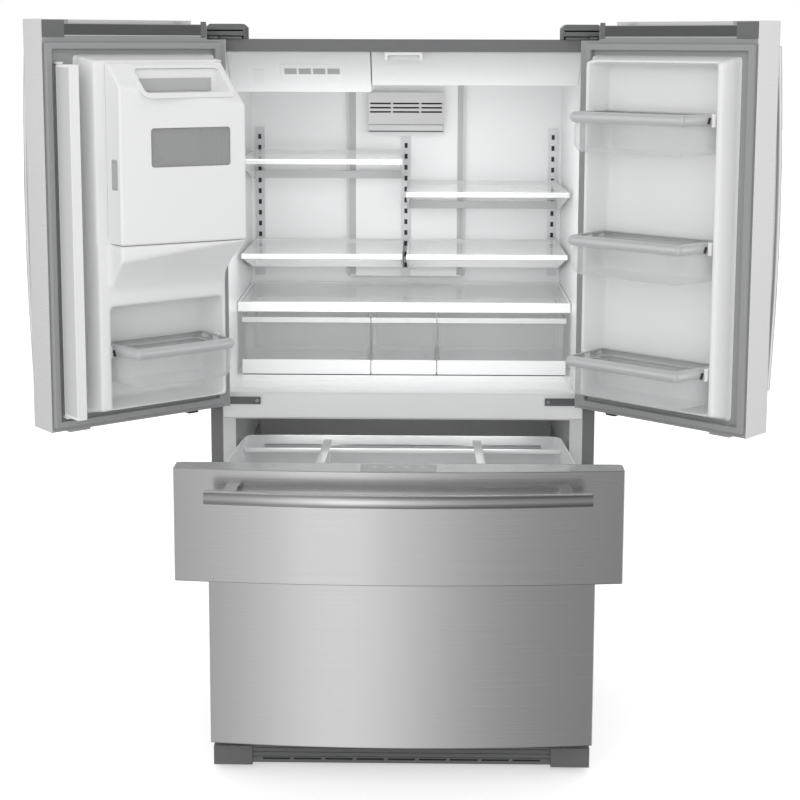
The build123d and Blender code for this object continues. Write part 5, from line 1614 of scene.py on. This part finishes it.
@dataclass
class Drawers:
    """Middle drawer, as it stands open, and the freezer drawer."""

    layout: Layout

    def build(self) -> None:
        """Builds both drawers' pieces."""
        Shelled("mid_drawer_front", "mid_drawer", FINISH.STEEL, "stainless", 2.6 * MM, 1.1 * MM).build()
        Shelled(
            "freezer_drawer_front", "freezer_drawer", FINISH.STEEL, "stainless", 2.6 * MM, 1.1 * MM
        ).build()
        Softened("mid_drawer_handle", "mid_drawer", FINISH.BAR, "stainless", 2.6 * MM, 3).build()
        Softened("freezer_handle", "freezer_drawer", FINISH.BAR, "stainless", 2.6 * MM, 3).build()
        Softened("freezer_basket", "freezer_drawer", FINISH.WHITE, "white_liner", 2.0 * MM).build()
        self.middle_tub()
        self.dividers()
        self.compartment_lamps()
        self.control_strip()

    def middle_tub(self) -> None:
        """Inner panel, cloudy tub and side slide members of the middle drawer."""
        front_low, front_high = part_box("mid_drawer_front")
        tub_low, tub_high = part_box("mid_drawer_dividers")
        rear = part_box("mid_drawer_tub")[1].y
        lip = front_high.y
        panel = Bench.block(
            "mid_drawer_panel", (front_low.x + 3 * MM, lip - 0.2 * MM, front_low.z + 3 * MM),
            (front_high.x - 3 * MM, lip + 16.4 * MM, front_high.z - 3 * MM),
        )
        Bench.rounded(panel, 3.0 * MM, 3)
        settle(panel, "mid_drawer", FINISH.CAP, "grey_plastic", "mid_drawer_tub")
        tub = Bench.open_tub(
            "mid_drawer_bin", (tub_low.x - 3 * MM, lip + 16 * MM, tub_low.z - 3.2 * MM),
            (tub_high.x + 3 * MM, rear - 0.5 * MM, tub_high.z + 8 * MM), 22 * MM, 16 * MM, 2.8 * MM,
        )
        self.arch_rear(tub, tub_high.z + 8 * MM)
        settle(tub, "mid_drawer", FINISH.CLOUDY, "clear_plastic")
        for side in (-1, 1):
            outer = abs(tub_low.x) + 3 * MM
            x = sorted((side * outer, side * (outer + 4 * MM)))
            member = Bench.block(
                f"mid_slide_{'left' if side < 0 else 'right'}", (x[0], lip + 40 * MM, tub_low.z + 20 * MM),
                (x[1], lip + 560 * MM, tub_low.z + 34 * MM),
            )
            Bench.rounded(member, 1.0 * MM, 2)
            settle(member, "mid_drawer", FINISH.PLAIN_STEEL, "galvanised")

    @staticmethod
    def arch_rear(tub: bpy.types.Object, top: float) -> None:
        """Lowers the tub's rear wall in a shallow arch."""
        rear = max(vertex.co.y for vertex in tub.data.vertices)
        half = max(vertex.co.x for vertex in tub.data.vertices)
        for vertex in tub.data.vertices:
            near = max(0.0, 1.0 - (rear - vertex.co.y) / 0.16)
            high = max(0.0, (vertex.co.z - top + 0.09) / 0.09)
            bend = 1.0 - 0.25 * (1.0 - (vertex.co.x / half) ** 2)
            vertex.co.z -= 0.048 * min(1.0, near * 1.4) * min(1.0, high) * bend

    def dividers(self) -> None:
        """Two lengthwise dividers with broad top rails and the bright rod across the rear."""
        low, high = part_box("mid_drawer_dividers")
        Softened("mid_drawer_dividers", "mid_drawer", FINISH.WHITE_TRIM, "white_trim", 1.6 * MM, 3).build()
        rod = Bench.rod(
            "mid_drawer_rod", (low.x + 46 * MM, high.y + 13.5 * MM, high.z - 62 * MM),
            (high.x - 46 * MM, high.y + 13.5 * MM, high.z - 62 * MM), 4.6 * MM
        )
        Bench.rounded(rod, 1.0 * MM, 2)
        settle(rod, "mid_drawer", FINISH.PLAIN_STEEL, "galvanised")

    def compartment_lamps(self) -> None:
        """Two small lamps under the middle compartment's ceiling."""
        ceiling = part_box("mid_liner")[1].z - LINER_WALL
        for side, label in ((-1, "left"), (1, "right")):
            centre = (side * 167 * MM, self.layout.at(46), ceiling)
            lens = Bench.rod(
                f"drawer_lamp_{label}", centre, (centre[0], centre[1], ceiling - 2.2 * MM), 17 * MM, 32
            )
            Bench.rounded(lens, 1.4 * MM, 3)
            settle(lens, "cabinet", FINISH.LAMP, "lamp")

    def control_strip(self) -> None:
        """Touch strip let into the middle drawer's top edge."""
        low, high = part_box("mid_drawer_front")
        strip = Bench.block(
            "drawer_control_strip", (-77 * MM, low.y + 8 * MM, high.z - 1.0 * MM),
            (77 * MM, high.y - 12 * MM, high.z + 1.2 * MM)
        )
        Bench.rounded(strip, 0.9 * MM, 3)
        settle(strip, "mid_drawer", FINISH.MID_GREY, "grey_plastic")
        for index in range(4):
            x = (-48 + 32 * index) * MM
            middle = (low.y + high.y) / 2
            key = Bench.rod(
                f"drawer_key_{index + 1}", (x, middle, high.z + 1.0 * MM),
                (x, middle, high.z + 1.8 * MM), 5.5 * MM,
            )
            Bench.rounded(key, 0.3 * MM, 2)
            settle(key, "mid_drawer", FINISH.SILVER, "grey_plastic")


class NodeFinishes:
    """Finishes of the CAD nodes whose shape is kept as it is."""

    KEPT: dict[str, BrushedSteel | Moulding | Clear | Lamp] = {
        "cabinet_shell": FINISH.CASE, "power_inlet": FINISH.BLACK_PARTS_AND_PAINTED_SHADE,
        "base_frame": FINISH.PLAIN_STEEL, "insulation_foam": FINISH.FOAM, "fresh_food_liner": FINISH.WHITE,
        "mid_liner": FINISH.PALE_LINER, "freezer_liner": FINISH.WHITE, "compressor": FINISH.ENAMEL,
        "condenser": FINISH.COIL, "evaporator": FINISH.COIL, "drawer_rails": FINISH.PLAIN_STEEL,
        "ceiling_lights": FINISH.LAMP, "mid_slides": FINISH.PLAIN_STEEL,
        "freezer_slides": FINISH.PLAIN_STEEL,
        "condenser_fan": FINISH.BLACK_PARTS_AND_PAINTED_SHADE, "evaporator_fan": FINISH.BLACK_PARTS_AND_PAINTED_SHADE, "flipper_pivots": FINISH.WHITE_SATIN,
    }

    @classmethod
    def apply(cls) -> None:
        """Puts its finish on every shown CAD node."""
        for name, node in FRAME["nodes"].items():
            if not node.hide_render:
                FINISH.dress(node, cls.KEPT[name])
                LOG.info("dressed %s", name)


# ------------------------------------------------------------------ floor, light and camera


@dataclass
class Studio:
    """Pale floor, soft light and the camera."""

    viewpoint: tuple[float, float, float] = (0.0493, -4.1689, 1.7403)
    lens: float = 74.5
    pitch: float = 8.295
    yaw: float = 0.841
    roll: float = 0.162
    shift: float = -0.145

    def build(self) -> None:
        """Builds the whole studio."""
        self.floor()
        self.world()
        self.light("key_softbox", (-2.2, -5.2, 3.6), (0.0, -0.4, 1.0), (3.0, 3.0), 34.0)
        self.light("front_softbox", (0.2, -5.4, 1.9), (0.0, -0.4, 1.2), (3.4, 2.0), 28.0)
        self.light("compartment_softbox", (0.0, -0.34, 1.32), (0.0, 0.2, 1.26), (0.74, 0.44), 1.65)
        self.light("inner_glow", (0.0, -0.10, 1.62), (0.0, 0.12, 1.1), (0.66, 0.12), 0.35)
        self.light("crisper_glow", (0.0, -0.08, 1.045), (0.0, 0.06, 0.8), (0.70, 0.06), 0.16)
        self.light("drawer_glow", (0.0, -0.28, 0.850), (0.0, -0.10, 0.4), (0.60, 0.10), 0.45)
        self.camera()
        view = bpy.context.scene.view_settings
        view.view_transform = "Standard"
        view.look = "None"

    def floor(self) -> None:
        """Pale seamless floor."""
        bpy.ops.object.select_all(action="DESELECT")
        bpy.ops.mesh.primitive_plane_add(size=60.0, location=(0.0, 0.0, -0.0005))
        plane = bpy.context.object
        plane.name = "studio_floor"
        shader = Shader("pale_floor")
        seen = Signal(shader.tree, shader.node("LightPath").outputs["Is Camera Ray"])
        glow = shader.blend(seen, (0.0, 0.0, 0.0), (1.0, 1.0, 1.0))
        shader.feed(
            Base_Color=(0.86, 0.86, 0.86, 1.0), Roughness=0.9, Emission_Color=glow, Emission_Strength=0.5
        )
        plane.data.materials.append(shader.material)
        plane.visible_glossy = False

    def world(self) -> None:
        """White surroundings: full white behind the object, graded grey around it for the metal to mirror."""
        world = bpy.data.worlds.new("studio_world")
        bpy.context.scene.world = world
        world.use_nodes = True
        tree = world.node_tree
        background = tree.nodes["Background"]
        path = tree.nodes.new("ShaderNodeLightPath")
        coordinates = tree.nodes.new("ShaderNodeTexCoord")
        axes = tree.nodes.new("ShaderNodeSeparateXYZ")
        tree.links.new(coordinates.outputs["Generated"], axes.inputs[0])
        across = Signal(tree, axes.outputs["X"])
        seen = Signal(tree, path.outputs["Is Camera Ray"])
        mirrored = Signal(tree, path.outputs["Is Glossy Ray"])
        offset = (across + 0.115) * 8.0
        band = (offset * offset + 1.0) ** -1.0
        square = across * across
        rise = Signal(tree, axes.outputs["Z"])
        graded = (band * 1.24 + square * square * 1.10 + 0.20) * (1.0 - rise * rise * 0.72)
        strength = mirrored * graded + (1.0 - mirrored) * 0.84 + seen * 0.16
        tree.links.new(strength.socket, background.inputs["Strength"])
        background.inputs["Color"].default_value = (1.0, 1.0, 1.0, 1.0)

    @staticmethod
    def light(name: str, spot: Sequence[float], target: Sequence[float], size: Span, power: float) -> None:
        """Adds one rectangular softbox.

        Args:
            name: its name.
            spot: where it stands.
            target: the point that it faces.
            size: width and height in metres.
            power: power in watts.
        """
        lamp = bpy.data.lights.new(name, "AREA")
        lamp.shape = "RECTANGLE"
        lamp.size, lamp.size_y = size
        lamp.energy = power
        stand = bpy.data.objects.new(name, lamp)
        stand.location = spot
        stand.rotation_euler = (Vector(target) - Vector(spot)).to_track_quat("-Z", "Y").to_euler()
        stand.visible_camera = False
        stand.visible_glossy = False
        bpy.context.scene.collection.objects.link(stand)

    def camera(self) -> None:
        """Adds the camera."""
        data = bpy.data.cameras.new("camera")
        data.lens = self.lens
        data.sensor_width = 36.0
        data.shift_y = self.shift
        camera = bpy.data.objects.new("camera", data)
        turn = (
            Matrix.Rotation(math.radians(self.yaw), 4, "Z") @ Matrix.Rotation(
                math.radians(90.0 - self.pitch), 4, "X"
            )
            @ Matrix.Rotation(math.radians(self.roll), 4, "Z")
        )
        camera.matrix_world = Matrix.Translation(self.viewpoint) @ turn
        bpy.context.scene.collection.objects.link(camera)
        bpy.context.scene.camera = camera


def main() -> None:
    """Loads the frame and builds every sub-assembly."""
    logging.basicConfig(level=logging.INFO, format="%(name)s: %(message)s")
    FRAME.update(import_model())
    layout = Layout.read()
    Cabinet(layout).build()
    Interior(layout).build()
    LeftDoor(layout).build()
    RightDoor(layout).build()
    Drawers(layout).build()
    NodeFinishes.apply()
    Studio().build()


if __name__ == "__main__":
    main()
